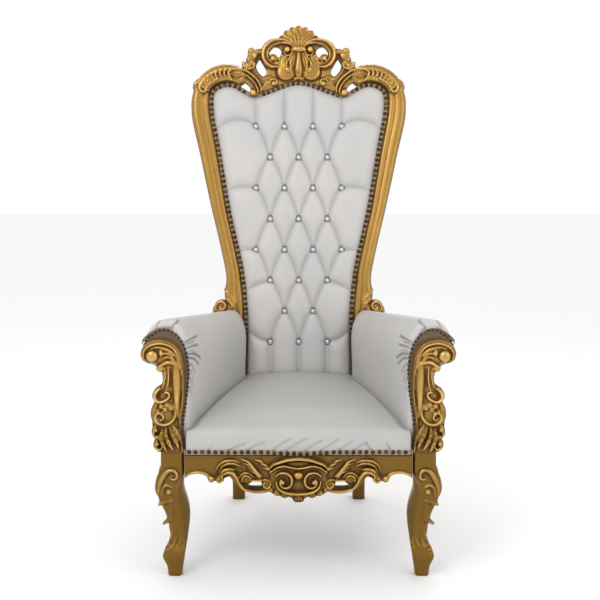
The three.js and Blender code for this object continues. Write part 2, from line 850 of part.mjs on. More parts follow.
function seatCushion() {
  const stations = [
    // share of the length from the front, height of the top
    [0, SEAT_TOP.front - 22],
    [0.02, SEAT_TOP.front - 5],
    [0.07, SEAT_TOP.front + 2],
    [0.25, SEAT_TOP.front + 12],
    [0.5, SEAT_TOP.middle],
    [0.8, SEAT_TOP.middle],
    [1, SEAT_TOP.rear],
  ];
  const across = [-1, -0.97, -0.75, -0.35, 0, 0.35, 0.75, 0.97, 1];
  return loft(
    stations.map(([share, top]) => {
      const y = lerp(SEAT.frontY, SEAT.rearY, share);
      const half = seatHalf(y);
      const swell = SEAT_TOP.crown * Math.min(1, share * 4);
      const upper = across.map((side) => {
        const edge = Math.abs(side) === 1 ? -14 : 0;
        return [side * half, y, top + edge + swell * (1 - side * side)];
      });
      return [[half, y, SEAT.bottom], [-half, y, SEAT.bottom], ...upper];
    }),
  );
}

function seatTrim() {
  const front = SEAT.frontY - GAP;
  const height = RAIL.top + GAP;
  const top = height + 17;
  const half = 324;
  return loft(
    [-half, half].map((x) => [
      [x, front, height],
      [x, front - 2.5, height],
      [x, front - 4.5, (height + top) / 2],
      [x, front - 2.5, top],
      [x, front, top],
    ]),
  );
}

// ---- assembly ----
const throne = new THREE.Group();
throne.position.y = CENTRE_SHIFT;
const back = new THREE.Group();
back.position.set(0, BACK_FOOT.y, BACK_FOOT.z);
back.rotation.x = -LEAN;
throne.add(back);

function place(parent, name, geometry, material) {
  const mesh = new THREE.Mesh(toGeometry(toSolid(geometry)), material);
  mesh.name = name;
  parent.add(mesh);
  return mesh;
}

function placePair(parent, name, geometry, material) {
  for (const [side, sign] of SIDES) {
    place(parent, `${name}_${side}`, sign > 0 ? geometry : mirrored(geometry), material);
  }
}

placePair(back, "back_stile", stile(), gold);
place(back, "crest_rail", crestRail(), gold);
place(back, "back_pad", backPad(), leather);
place(back, "back_panel", backPanel(), backing);
place(back, "back_trim", backTrim(), braid);
for (const spot of buttonPlaces()) {
  const stud = place(back, spot.name, button(), crystal);
  stud.position.set(spot.x, -PAD.button - GAP, spot.v);
}

placePair(throne, "front_leg", frontLeg(), gold);
placePair(throne, "back_leg", backLeg(), gold);
placePair(throne, "side_rail", sideRail(), gold);
place(throne, "front_rail", frontRail(), gold);
place(throne, "back_rail", backRail(), gold);
placePair(throne, "arm_post", armPost(), gold);
placePair(throne, "arm_facing", armFacing(), braid);
placePair(throne, "arm_pad", armPad(), leather);
place(throne, "seat_cushion", seatCushion(), leather);
place(throne, "seat_trim", seatTrim(), braid);

export default throne;
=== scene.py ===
"""A carved, gilded throne with tufted white upholstery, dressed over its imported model."""
import math

import bpy
import numpy as np
import openvdb
from mathutils import Matrix, Vector


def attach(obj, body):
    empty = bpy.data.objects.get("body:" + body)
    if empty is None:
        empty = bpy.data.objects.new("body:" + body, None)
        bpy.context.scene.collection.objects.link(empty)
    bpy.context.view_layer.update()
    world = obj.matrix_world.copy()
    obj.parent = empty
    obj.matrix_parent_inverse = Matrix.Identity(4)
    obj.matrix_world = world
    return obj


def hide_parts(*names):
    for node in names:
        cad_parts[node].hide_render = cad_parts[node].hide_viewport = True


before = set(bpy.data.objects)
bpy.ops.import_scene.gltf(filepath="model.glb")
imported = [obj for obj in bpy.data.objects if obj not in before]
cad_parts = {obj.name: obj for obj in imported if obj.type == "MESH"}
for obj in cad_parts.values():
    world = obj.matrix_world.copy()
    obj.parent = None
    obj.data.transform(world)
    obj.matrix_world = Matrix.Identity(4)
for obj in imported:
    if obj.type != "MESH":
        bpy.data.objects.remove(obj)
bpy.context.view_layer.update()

# ---- driving dimensions, in millimetres unless a name says otherwise ----
MM = 0.001
BODY = "root"
CENTRE_SHIFT = -9.5  # of everything, along Y
LEAN = math.radians(7)
BACK_FOOT = (235 + CENTRE_SHIFT, 420)  # y and z where the back's own plane starts
FRAME_REAR = -50
CREST_REAR = -26
CREST_RELIEF = -8
STILE_FOOT = -40
JOINT = 1000
RAIL_FACE = 375
EDGE_TO_NAILS = 7.5
REBATE_TOP = 2.9  # the crest is cut away below this, over the edge of the upholstery
SEED = 7

NAIL_LINE = np.array([
    (-179, 200), (-179, 272), (-193, 411), (-237, 615), (-271, 818), (-290, 920), (-295, 975),
    (-292, 1008), (-280, 1023), (-262, 1033), (-240, 1037), (-215, 1032), (-178, 1012),
    (-157, 1002), (-135, 1002), (-83, 1020), (-42, 1036), (0, 1043),
], float)


# ---- plain geometry ----
def back_place(points):
    """From the back's own plane (across, up, forward) to the throne's frame, in metres."""
    x, up, forward = np.asarray(points, float).T
    y = BACK_FOOT[0] + up * math.sin(LEAN) - forward * math.cos(LEAN)
    z = BACK_FOOT[1] + up * math.cos(LEAN) + forward * math.sin(LEAN)
    return np.column_stack([x, y, z]) * MM


def front_place(points):
    """From an upright board's plane (across, up, forward) to the throne's frame, in metres."""
    x, up, forward = np.asarray(points, float).T
    return np.column_stack([x, CENTRE_SHIFT - forward, up]) * MM


def run_along(path):
    """The length of a path from its start to each of its points."""
    return np.concatenate([[0], np.cumsum(np.linalg.norm(np.diff(path, axis=0), axis=1))])


def at_run(path, lengths):
    """The places on a path at these lengths from its start."""
    run = run_along(path)
    return np.column_stack([np.interp(lengths, run, axis) for axis in path.T])


def left_of(path):
    """Unit vectors to the left of a path, at each of its points."""
    run = np.gradient(path, axis=0)
    run /= np.linalg.norm(run, axis=1)[:, None]
    return np.column_stack([-run[:, 1], run[:, 0]])


def spline(points, steps=48):
    """A smooth curve through the points, of even steps along its length."""
    points = np.asarray(points, float)
    padded = np.vstack([2 * points[0] - points[1], points, 2 * points[-1] - points[-2]])
    t = np.linspace(0, 1, 16, endpoint=False)[:, None]
    fine = [0.5 * (2 * b + (c - a) * t + (2 * a - 5 * b + 4 * c - d) * t**2 + (3 * b - a - 3 * c + d) * t**3)
            for a, b, c, d in zip(padded, padded[1:], padded[2:], padded[3:])]
    fine = np.vstack([*fine, points[-1:]])
    return at_run(fine, np.linspace(0, run_along(fine)[-1], steps))


def spiral(x, y, radii, angles, steps=40):
    """A path round (x, y) whose radius changes between two angles in degrees."""
    share = np.linspace(0, 1, steps)
    angle = np.radians(angles[0] + (angles[1] - angles[0]) * share)
    radius = along(radii, share)
    return np.column_stack([x + radius * np.cos(angle), y + radius * np.sin(angle)])


def along(values, share):
    """The value of an evenly spaced chain at a share of its length."""
    return np.interp(share, np.linspace(0, 1, len(values)), values)


def smoothstep(low, high, value):
    t = np.clip((value - low) / (high - low), 0, 1)
    return t * t * (3 - 2 * t)


def fillet(a, b, radius):
    """What is added where two surfaces meet, to round the corner between them."""
    return np.maximum(radius - np.abs(a - b), 0) ** 2 / (4 * radius)


def box(low, high):
    """A rectangle's corners."""
    return [low, (high[0], low[1]), high, (low[0], high[1])]


def blurred(field, weight, cells):
    """The mean of a field around each cell, over the cells that have weight."""
    span = int(math.ceil(2.5 * cells))
    kernel = np.exp(-0.5 * (np.arange(-span, span + 1) / cells) ** 2)

    def spread(values):
        for axis in (0, 1):
            total = np.zeros_like(values)
            for offset, share in zip(range(-span, span + 1), kernel):
                total += share * np.roll(values, offset, axis)
            values = total
        return values

    return spread(field * weight) / np.maximum(spread(weight), 1e-6)


def add_object(name, data):
    made = bpy.data.objects.new(name, data)
    bpy.context.scene.collection.objects.link(made)
    return made


def add_piece(name, mesh, nodes):
    """A piece of the throne on its body, in place of the solids that it stands for."""
    piece = add_object(name, mesh)
    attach(piece, BODY)
    if nodes:
        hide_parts(*nodes)
    return piece


def add_mesh(name, points, faces, materials, nodes=(), layers=None):
    """A piece from its points, in metres, with a value at each point for every layer."""
    mesh = bpy.data.meshes.new(name)
    mesh.from_pydata(points, [], faces)
    for key, values in (layers or {}).items():
        layer = mesh.attributes.new(key, "FLOAT", "POINT")
        layer.data.foreach_set("value", np.asarray(values, np.float32))
    mesh.polygons.foreach_set("use_smooth", [True] * len(mesh.polygons))
    for material in materials:
        mesh.materials.append(material)
    return add_piece(name, mesh, nodes)


def add_mirrored(name, source, nodes):
    """The other side's copy of a piece."""
    mesh = bpy.data.objects[source].data.copy()
    mesh.transform(Matrix.Scale(-1, 4, (1, 0, 0)))
    mesh.flip_normals()
    add_piece(name, mesh, nodes)


# ---- sections across a carved stroke: height from 0 to 1 over u from -1 to 1 ----
def dome(u, run):
    return np.sqrt(np.maximum(0, 1 - u * u))


def pillow(u, run):
    return np.sqrt(np.maximum(0, 1 - u**4))


def reeded(u, run):
    """Rims at both edges and a bead along the middle."""
    return np.sqrt(np.maximum(0, 1 - u**6)) * (0.78 + 0.22 * np.cos(2 * np.pi * u))


def valley(u, run):
    """A hollow with soft edges."""
    return 0.35 + 0.65 * u * u


def channelled(u, run):
    """A broad roll on the outer side, a hollow, and a bead along the inner edge."""
    shares = [0, 0.05, 0.14, 0.27, 0.4, 0.52, 0.62, 0.7, 0.78, 0.86, 0.93, 1]
    heights = [0, 0.5, 0.82, 1.0, 0.97, 0.78, 0.58, 0.58, 0.76, 0.82, 0.66, 0]
    return np.interp((u + 1) / 2, shares, heights)


def fluted(count):
    def section(u, run):
        return dome(u, run) * (0.84 + 0.16 * np.cos(count * np.pi * u))

    return section


def veined(pitch):
    """A leaf: a vein along the middle and side veins that run out from it."""

    def section(u, run):
        side = np.abs(np.sin(np.pi * (run / pitch - 0.9 * np.abs(u))))
        ribs = 0.82 + 0.18 * np.sqrt(side)
        return dome(u, run) * ribs * (1 - 0.25 * np.exp(-((u / 0.14) ** 2)))

    return section


def beaded(pitch):
    def section(u, run):
        return dome(u, run) * (0.6 + 0.4 * np.abs(np.sin(np.pi * run / pitch)))

    return section


# ---- carved boards ----
FLATNESS = 0.002  # how far flat stretches may take larger faces
SOFTEN = 0.65  # cells of blur over a finished board
FAR = 1e3  # a distance beyond any board
# painted shade, as a value of proud: the gold darker down the sides and on the rear
PAINTED_SIDE_SHADE = -0.35  # the gold's tone down the sides and on the rear


def polygons(field):
    """The zero level of a field of distances, as points and faces that look outward."""
    volume = openvdb.FloatGrid(FAR)
    volume.copyFromArray(np.clip(field, -12, 12).astype(np.float32))
    points, triangles, quads = volume.convertToPolygons(isovalue=0.0, adaptivity=FLATNESS)
    return points, triangles.tolist() + quads.tolist()


class Carving:
    """A board carved on its face: a height and a signed distance to its outline over a grid.

    Heights of the forms are given above the face, and root is where a stroke's edges meet it.
    Wider and taller stretch every stroke; half is for a board whose other half mirrors it."""

    def __init__(self, low, high, cell, rear=0, face=0, root=0, wider=1, taller=1, half=False):
        self.cell = cell
        self.face = face
        self.root = root
        self.wider = wider
        self.taller = taller
        self.half = half
        across = high[0] - low[0]
        self.x = high[0] - cell * np.arange(int(across / cell) + 1)[::-1]
        self.y = np.arange(low[1], high[1] + cell, cell)
        self.height = np.full((len(self.x), len(self.y)), float(rear))
        self.edge = np.full(self.height.shape, FAR)
        self.back = np.full(self.height.shape, float(rear))
        self.rebate = np.full(self.height.shape, FAR)

    def window(self, points, reach):
        """The part of the grid within reach of the points."""
        points = np.asarray(points, float)
        spans = []
        for axis, values in ((0, self.x), (1, self.y)):
            low = np.searchsorted(values, points[:, axis].min() - reach)
            high = np.searchsorted(values, points[:, axis].max() + reach)
            spans.append(slice(max(0, low), max(0, high)))
        return tuple(spans)

    def trace(self, path, reach):
        """Distance from a path, its side, and the run along it, for the cells within reach."""
        spot = self.window(path, reach)
        x = self.x[spot[0], None]
        y = self.y[None, spot[1]]
        legs = np.diff(path, axis=0)
        lengths = np.maximum(np.linalg.norm(legs, axis=1), 1e-6)
        starts = np.concatenate([[0], np.cumsum(lengths)])
        gap = np.full(self.height[spot].shape, 1e9)
        run = np.zeros_like(gap)
        side = np.ones_like(gap)
        for (ax, ay), (dx, dy), length, start in zip(path, legs / lengths[:, None], lengths, starts):
            px = x - ax
            py = y - ay
            t = np.clip(px * dx + py * dy, 0, length)
            away = np.hypot(px - t * dx, py - t * dy)
            nearer = away < gap
            gap = np.where(nearer, away, gap)
            run = np.where(nearer, start + t, run)
            side = np.where(nearer, np.sign(dx * py - dy * px), side)
        return spot, gap, side, run, starts[-1]

    def outline_distance(self, outline):
        """Signed distance to a closed outline, negative inside."""
        closed = np.vstack([outline, outline[:1]]).astype(float)
        _, gap, *_ = self.trace(closed, 1e4)
        inside = np.zeros(gap.shape, bool)
        x = self.x[:, None]
        y = self.y[None, :]
        for (ax, ay), (bx, by) in zip(closed, closed[1:]):
            if ay == by:
                continue
            crosses = (ay > y) != (by > y)
            inside ^= crosses & (x < (bx - ax) * (y - ay) / (by - ay) + ax)
        return np.where(inside, -gap, gap)

    def raise_to(self, spot, height, inside, radius=3.2):
        """Adds a form over what is there, with a small fillet where they meet."""
        old = self.height[spot]
        self.height[spot] = np.where(inside, np.maximum(old, height) + fillet(old, height, radius), old)

    def ground(self, outline, height, holes=()):
        """The board that the rest stands on."""
        edge = self.outline_distance(outline)
        for hole in holes:
            edge = np.maximum(edge, -self.outline_distance(hole))
        self.edge = np.minimum(self.edge, edge)
        raised = np.maximum(self.height, self.face + height)
        self.height = np.where(edge < self.cell, raised, self.height)

    def stroke(self, points, halves, tops, section=dome, root=None, curved=True):
        """A carved band along a path; halves and tops change along it."""
        path = spline(points) if curved else np.asarray(points, float)
        halves = np.asarray(halves) * self.wider
        spot, gap, side, run, length = self.trace(path, max(halves) + 2 * self.cell)
        half = along(halves, run / length)
        top = self.face + self.taller * along(np.atleast_1d(tops), run / length)
        foot = self.face + (self.root if root is None else root)
        u = np.clip(side * gap / half, -1, 1)
        self.raise_to(spot, foot + (top - foot) * section(u, run), gap < half + self.cell)
        self.edge[spot] = np.minimum(self.edge[spot], gap - half)

    def knob(self, x, y, radius, top, tall=1.0, flat=2):
        """A ball half sunk in the board; a larger flat gives a disc with rounded edges."""
        spot = self.window([(x, y)], radius * max(1, tall) + 2 * self.cell)
        gap = np.hypot(self.x[spot[0], None] - x, (self.y[None, spot[1]] - y) / tall)
        rise = np.sqrt(np.maximum(0, 1 - (gap / radius) ** flat))
        sunk = min(0.85 * radius, 14)
        self.raise_to(spot, self.face + top - sunk + sunk * rise, gap < radius, radius=0.8)
        self.edge[spot] = np.minimum(self.edge[spot], gap - radius)

    def cut(self, points, half, depth, curved=True):
        """A groove along a path."""
        path = spline(points) if curved else np.asarray(points, float)
        spot, gap, _, run, length = self.trace(path, 3 * half)
        taper = np.sqrt(np.clip(np.minimum(run, length - run) / (3 * half), 0.05, 1))
        self.height[spot] -= depth * taper * np.exp(-((gap / half) ** 2))

    def trim_to(self, outline, keep_inside):
        """Cuts the board away outside an outline, or inside it."""
        edge = self.outline_distance(outline)
        self.edge = np.maximum(self.edge, edge if keep_inside else -edge)

    def settle(self, cells):
        """Softens the whole board."""
        self.height = blurred(self.height, np.ones_like(self.height), cells)

    def surface(self, deep_cell=3.2):
        """The board as points and faces, with how far each point stands proud of its surroundings."""
        maps = [self.height, self.edge, self.back, self.rebate]
        x = self.x
        if self.half:
            maps = [np.vstack([field, field[-2::-1]]) for field in maps]
            x = np.concatenate([x, -x[-2::-1]])
        height, edge, back, rebate = maps
        solid = (edge < 0).astype(float)
        near = (edge < self.cell) + 1e-6
        height = np.where(edge < self.cell, blurred(height, near, SOFTEN), height)
        # how far each point stands proud: this sets the gold's worn ridges with painted highlights and its
        # antiquing with painted shade in the hollows, the broader term shading whole hollows
        proud = (height - blurred(height, solid + 1e-4, 4.5 / self.cell)) / 6
        proud += (height - blurred(height, solid + 1e-4, 11 / self.cell)) / 18
        tops = height[edge < 0].max()
        levels = np.arange(back.min() - 2 * deep_cell, tops + 3 * deep_cell, deep_cell)
        slopes = np.gradient(height, self.cell)
        steep = 1 / np.sqrt(1 + np.minimum(slopes[0] ** 2 + slopes[1] ** 2, 9))
        field = (levels - height[..., None]) * steep[..., None]
        field = np.maximum(field, edge[..., None])
        field = np.maximum(field, back[..., None] - levels)
        field = np.maximum(field, np.minimum(-rebate[..., None], REBATE_TOP - levels))
        points, faces = polygons(field)
        place = points * (self.cell, self.cell, deep_cell) + (x[0], self.y[0], levels[0])
        nearest = np.rint(points[:, :2]).astype(int)
        column, row = np.clip(nearest, 0, (len(x) - 1, len(self.y) - 1)).T
        # painted shade: points down a side or at the rear take the darker gold
        sunk = (height[column, row] - place[:, 2]) > 6  # down a side or at the rear
        return place, faces, np.clip(np.where(sunk, PAINTED_SIDE_SHADE, proud[column, row]), -1, 1)


def sample(board, x, y):
    """A board's height at scattered places."""
    column = np.clip((x - board.x[0]) / board.cell, 0, len(board.x) - 1.001)
    row = np.clip((y - board.y[0]) / board.cell, 0, len(board.y) - 1.001)
    i, j = column.astype(int), row.astype(int)
    s, t = column - i, row - j
    h = board.height
    return ((1 - s) * (1 - t) * h[i, j] + s * (1 - t) * h[i + 1, j]
            + (1 - s) * t * h[i, j + 1] + s * t * h[i + 1, j + 1])


def add_carving(name, carving, place, material, node, wear_and_painted_light_scale=1.0):
    points, faces, proud = carving.surface()
    # the scale on proud sets the strength of the worn ridges with painted highlights and of the antiquing
    # with painted shade in the hollows
    add_mesh(name, place(points), faces, [material], [node], {"proud": proud * wear_and_painted_light_scale})


def opening(outward):
    """The nail line moved outward from the upholstery, over both halves of the back."""
    moved = NAIL_LINE + outward * left_of(NAIL_LINE)
    moved[-1] = (0, NAIL_LINE[-1, 1] + outward)
    return np.vstack([moved, moved[-2::-1] * [-1, 1]])


# ---- shader maths ----
class Value:
    """A node's output; sums and products of values add the Math nodes that work them out."""

    def __init__(self, shader, socket):
        self.shader = shader
        self.socket = socket

    def math(self, operation, *others):
        sockets = dict(enumerate((self, *others)))
        return self.shader.node("ShaderNodeMath", {"operation": operation}, sockets)

    def __add__(self, other):
        return self.math("ADD", other)

    def __mul__(self, other):
        return self.math("MULTIPLY", other)

    def __sub__(self, other):
        return self.math("SUBTRACT", other)

    def __rsub__(self, other):
        return self.math("MULTIPLY", -1).math("ADD", other)

    __radd__ = __add__
    __rmul__ = __mul__

    def band(self, low, high):
        """0 below low and 1 above high, smooth between; the two may be swapped."""
        settings = {"interpolation_type": "SMOOTHSTEP"}
        sockets = {"Value": self, "From Min": low, "From Max": high}
        return self.shader.node("ShaderNodeMapRange", settings, sockets)


class Shader:
    """A material of this throne, made from nodes."""

    def __init__(self, name):
        self.material = bpy.data.materials.new(name)
        self.material.use_nodes = True
        self.tree = self.material.node_tree
        self.surface = self.tree.nodes["Principled BSDF"]

    def feed(self, socket, value):
        if isinstance(value, Value):
            self.tree.links.new(value.socket, socket)
        else:
            socket.default_value = value

    def node(self, kind, settings=None, sockets=None, output=0):
        made = self.tree.nodes.new(kind)
        for key, value in (settings or {}).items():
            setattr(made, key, value)
        for key, value in (sockets or {}).items():
            self.feed(made.inputs[key], value)
        return Value(self, made.outputs[output])

    def mix(self, share, low, high):
        """A colour between two."""
        low, high = (c if isinstance(c, Value) else (*c, 1) for c in (low, high))
        return self.node("ShaderNodeMix", {"data_type": "RGBA"}, {0: share, 6: low, 7: high}, output=2)

    def place(self):
        return self.node("ShaderNodeTexCoord", output="Object")

    def noise(self, scale, detail=3, roughness=0.55):
        sockets = {"Vector": self.place(), "Scale": scale, "Detail": detail, "Roughness": roughness}
        return self.node("ShaderNodeTexNoise", {}, sockets)

    def attribute(self, name):
        return self.node("ShaderNodeAttribute", {"attribute_name": name}, output="Fac")

    def height(self):
        """Metres above the floor."""
        return self.node("ShaderNodeSeparateXYZ", {}, {0: self.place()}, output="Z")

    def bump(self, value, strength, distance):
        sockets = {"Height": value, "Strength": strength, "Distance": distance}
        self.feed(self.surface.inputs["Normal"], self.node("ShaderNodeBump", {}, sockets))

    def finish(self, **sockets):
        for name, value in sockets.items():
            key = name.replace("_", " ")
            value = value if isinstance(value, (Value, float, int)) else (*value, 1)
            self.feed(self.surface.inputs[key], value)
        return self.material


def antique_gold():
    """Gold leaf paint, worn pale on the ridges with a painted highlight there, and brown antiquing in the
    hollows deepened with painted shade; painted shade also darkens it down the sides, at the rear and
    towards the floor.
    """
    shader = Shader("antique_gold")
    proud = shader.attribute("proud")
    cloud = shader.noise(22, 4)
    grain = shader.noise(190, 3)
    # painted shade: the gold's colours darken towards the floor, where less light falls
    low = shader.height().band(0.57, 0.43)
    tone = proud + (cloud - 0.5) * 0.5 + (grain - 0.5) * 0.3
    glaze_and_painted_shade = tone.band(-0.05, -0.75)
    wear_and_painted_highlight = tone.band(0.12, 0.85)
    leaf = shader.mix(low, (0.385, 0.215, 0.052), (0.195, 0.104, 0.018))
    bright = shader.mix(low, (0.68, 0.44, 0.155), (0.57, 0.35, 0.1))
    brown = shader.mix(low, (0.13, 0.065, 0.014), (0.075, 0.037, 0.008))
    colour = shader.mix(glaze_and_painted_shade, shader.mix(wear_and_painted_highlight, leaf, bright), brown)
    shader.bump(grain, 0.25, 0.0006)
    return shader.finish(
        Base_Color=colour,
        Metallic=0.86 - glaze_and_painted_shade * 0.4,
        Roughness=0.33 + glaze_and_painted_shade * 0.22 + (cloud - 0.5) * 0.16,
    )


# ---- crest rail ----
RING_HOLE = spiral(-78, 1146, [20, 22, 20], [0, 315], 24)
TEARDROP = spline([(-133, 1126), (-147, 1098), (-139, 1074), (-121, 1066), (-109, 1080), (-119, 1104),
                   (-133, 1126)])[:-1]
CRESCENT = spline([(-210, 1049), (-197, 1051), (-185, 1048), (-171, 1038), (-163, 1025), (-163, 1014),
                   (-171, 1010), (-187, 1024), (-210, 1049)])[:-1]
SHELL_ROOT = 1154
SHELL_REACH = 82
SHELL_LOBE = math.radians(18.2)


def carve_crest():
    board = Carving((-368, 992), (0, 1241), 1.8, rear=CREST_REAR, root=CREST_RELIEF, half=True)
    upper = [(-222, 1098), (-194, 1094), (-164, 1088), (-163, 1118), (-152, 1142), (-134, 1158),
             (-124, 1158), (-116, 1178), (-98, 1192), (-60, 1194), (-42, 1196), (-20, 1200), (0, 1200)]
    lower = [(0, 1045), (-90, 1018), (-150, 1000), (-180, 1018), (-222, 1040)]
    board.ground([*lower, *upper], 0, [RING_HOLE, TEARDROP, CRESCENT])
    carve_shoulder(board)
    carve_side_flower(board)
    carve_board_over_nails(board)
    carve_palmette(board)
    carve_shell(board)
    carve_c_scroll(board)
    opening_edge = spline(opening(EDGE_TO_NAILS + 0.6), 260)
    board.trim_to(opening_edge, keep_inside=False)
    carve_shoulder_scroll(board)
    board.rebate = board.outline_distance(opening_edge)
    board.back += (FRAME_REAR - CREST_REAR) * smoothstep(-150, -235, board.x)[:, None]
    return board


def carve_shoulder(board):
    """The moulding's bend at the corner of the back, with curled acanthus blades laid over it."""
    outer = spline([(-363, 992), (-362, 1000), (-355, 1027), (-341, 1056), (-318, 1081), (-290, 1098),
                    (-260, 1107), (-230, 1108), (-204, 1101)], 60)
    inner = spline([(-302, 992), (-302, 1000), (-298, 1016), (-287, 1031), (-270, 1041), (-254, 1045),
                    (-238, 1046), (-222, 1043), (-208, 1038)], 60)

    def bend(step, share):
        step = min(step, 59)
        return inner[step] * (1 - share) + outer[step] * share

    half = np.linalg.norm(outer - inner, axis=1) / 2
    board.stroke((outer + inner) / 2, half, 9, stile_section, root=0, curved=False)
    board.stroke([bend(step, 0.9) for step in range(8, 60, 4)], [3, 5, 5.5, 5, 4], [10, 14, 15, 15, 14],
                 root=1)
    board.stroke([bend(step, 0.52) for step in range(9, 56, 4)], [10, 17, 19, 19, 17, 10],
                 [7, 10, 10, 10, 7], pillow, root=1)
    for step in range(11, 52, 5):
        path = [bend(step, 0.16), bend(step - 3, 0.36), bend(step - 2, 0.58), bend(step + 3, 0.74),
                bend(step + 10, 0.8)]
        board.stroke(path, [4, 6.5, 6.5, 6, 3], [13, 18, 20, 19, 14], root=4)
    for step in range(9, 30, 4):
        for share in (0.28, 0.46, 0.64):
            board.knob(*bend(step + round(8 * share), share), 5.5, 19)
    inner_bead = inner[10:54] * 0.86 + outer[10:54] * 0.14
    board.stroke(inner_bead, [3.5, 4.5, 4.5, 3.5], 13, beaded(9), root=3, curved=False)
    for x, y in [(-352, 1036), (-340, 1028), (-326, 1024), (-312, 1026)]:
        board.stroke([(x - 4, y - 10), (x, y), (x + 10, y + 16)], [3, 7, 5], [10, 14, 12], veined(8),
                     root=1)


def stile_section(u, run):
    """The stile's moulding from its outer edge, u = 1, to its inner bead; 9 mm is a full step."""
    share = (1 - u) / 2
    shares = [0, 0.03, 0.1, 0.2, 0.32, 0.5, 0.6, 0.645, 0.68, 0.74, 0.82, 0.9, 1]
    heights = [-1.6, -0.3, 0.7, 1.1, 1.15, 0.95, 0.72, 0.28, 0.5, 0.74, 0.7, 0.45, -0.25]
    return np.interp(share, shares, heights)


def carve_shoulder_scroll(board):
    """The hollow acanthus scroll that ends in a ball over the nails."""
    board.stroke([(-218, 1056), (-200, 1062), (-182, 1060), (-164, 1048), (-152, 1030), (-147, 1016)],
                 [5, 8, 9.5, 9.5, 8, 6], [4, 1, 0, 0, 1, 4], valley)
    board.stroke([(-240, 1068), (-214, 1078), (-190, 1075), (-166, 1061), (-147, 1040), (-138, 1018),
                  (-141, 1004), (-151, 999)], [3, 4, 5, 5, 5, 4.5, 4, 3], [14, 14, 15, 15, 15, 13])
    board.stroke([(-240, 1086), (-210, 1092), (-181, 1085), (-155, 1068), (-135, 1046), (-127, 1024),
                  (-128, 1010)], [4, 5.5, 6, 6, 6, 5, 3], [14, 15, 16, 15, 14, 11])
    board.stroke([(-236, 1052), (-218, 1052), (-207, 1047)], [4, 4, 3], 9)
    board.knob(-155, 1010, 12.5, 20)


def carve_board_over_nails(board):
    board.stroke([(-150, 1008), (-110, 1026), (-80, 1040), (-40, 1056), (0, 1061)], [14, 16, 18, 18, 18],
                 4, pillow)
    board.stroke([(-124, 1024), (-110, 1040), (-94, 1054)], [5, 8, 5], 6, root=-2)
    board.stroke(spiral(-85, 1045, [13, 12, 6], [200, -150]), [3.5, 4.5, 4, 3], [9, 12, 13], root=-2)
    board.knob(-84, 1044, 7, 12)
    board.stroke([(-118, 1058), (-106, 1062), (-94, 1064)], [6, 9, 6], 5)


def carve_side_flower(board):
    board.stroke([(-128, 1152), (-146, 1140), (-155, 1122), (-154, 1102), (-145, 1078), (-128, 1060),
                  (-106, 1050)], [8, 10, 10, 9, 9, 10, 12], [13, 12, 10, 9, 9, 6], reeded)
    for x, y, radius, top in [(-184, 1109, 9, 12), (-171, 1102, 13, 14), (-157, 1112, 10, 12)]:
        board.knob(x, y, radius, top)
    board.stroke([(-188, 1114), (-184, 1098), (-170, 1090), (-154, 1096), (-147, 1112)], [4, 6, 6, 5, 3],
                 [12, 15, 15, 12])
    board.knob(-160, 1151, 13, 16)
    board.knob(-164, 1138, 10, 14)
    board.knob(-150, 1136, 11, 19)
    board.stroke(spiral(-151, 1137, [13, 13], [20, 290]), [3, 4, 4, 3], 14)
    board.knob(-139, 1150, 10, 13)
    board.knob(-168, 1124, 11, 13)
    board.knob(-127, 1146, 8, 12)


def carve_palmette(board):
    """Two smooth lobes with curls under the shell, and the stalk between them."""
    for x, y, radius in [(-55, 1134, 7), (-64, 1124, 8), (-68, 1111, 7)]:
        board.knob(x, y, radius, 13)
    board.stroke([(-40, 1128), (-14, 1132), (0, 1132)], [14, 14, 14], 10, pillow)
    board.stroke([(-12, 1142), (-14, 1100), (-10, 1064)], [20, 26, 14], 12, pillow)
    board.stroke([(-44, 1134), (-52, 1116), (-50, 1098), (-42, 1084)], [5, 12, 20, 26], 12, pillow)
    board.knob(-42, 1083, 34, 14, flat=5)
    board.cut(spiral(-42, 1083, [34, 34, 33], [150, 360]), 2.2, 6)
    for points in ([(-40, 1092), (-42, 1106), (-34, 1124), (-26, 1136)],
                   [(-25, 1094), (-28, 1108), (-23, 1126), (-17, 1136)]):
        board.stroke(points, [4, 6.5, 5.5, 3], [17, 20, 19, 15], root=2)
    board.cut([(-34, 1136), (-36, 1118), (-33, 1098)], 1.7, 6)
    board.stroke(spiral(-36, 1089, [10, 10, 4], [40, -250]), [3, 4, 3], [18, 21, 21])
    board.knob(-36, 1088, 6, 21)
    board.stroke([(0, 1142), (0, 1124), (0, 1104), (0, 1086), (0, 1070)], [7, 8.5, 11, 14, 11],
                 [16, 18, 20, 21, 16], pillow, root=6)
    board.cut([(-9, 1142), (-11, 1120), (-15, 1100), (-17, 1082), (-12, 1066), (0, 1061)], 1.8, 5)
    board.stroke([(-20, 1048), (-11, 1055), (0, 1058)], [3, 4, 4], [8, 10, 10])


def carve_c_scroll(board):
    """The large C-scroll, from its volute beside the shell round to the ball at its tail."""
    path = [(-50, 1150), (-45, 1140), (-34, 1137), (-24, 1146), (-22, 1162), (-32, 1177), (-52, 1184),
            (-78, 1183), (-99, 1173), (-113, 1154), (-115, 1132), (-105, 1113), (-89, 1102), (-70, 1100)]
    board.stroke(path, [3, 5, 6, 7, 9, 11, 13, 14, 15, 15, 15, 14, 12, 7],
                 [17, 20, 21, 21, 20, 20, 19, 18, 17], channelled)
    board.knob(-39, 1155, 11, 23)
    board.cut(spiral(-39, 1155, [12, 12], [150, 480]), 1.6, 4)
    board.stroke(spiral(-87, 1126, [13, 13], [-70, 150]), [3, 4, 4, 3], 13)
    board.knob(-87, 1126, 10, 18)
    board.stroke([(-78, 1112), (-68, 1106), (-63, 1094)], [6, 6, 3], 12)


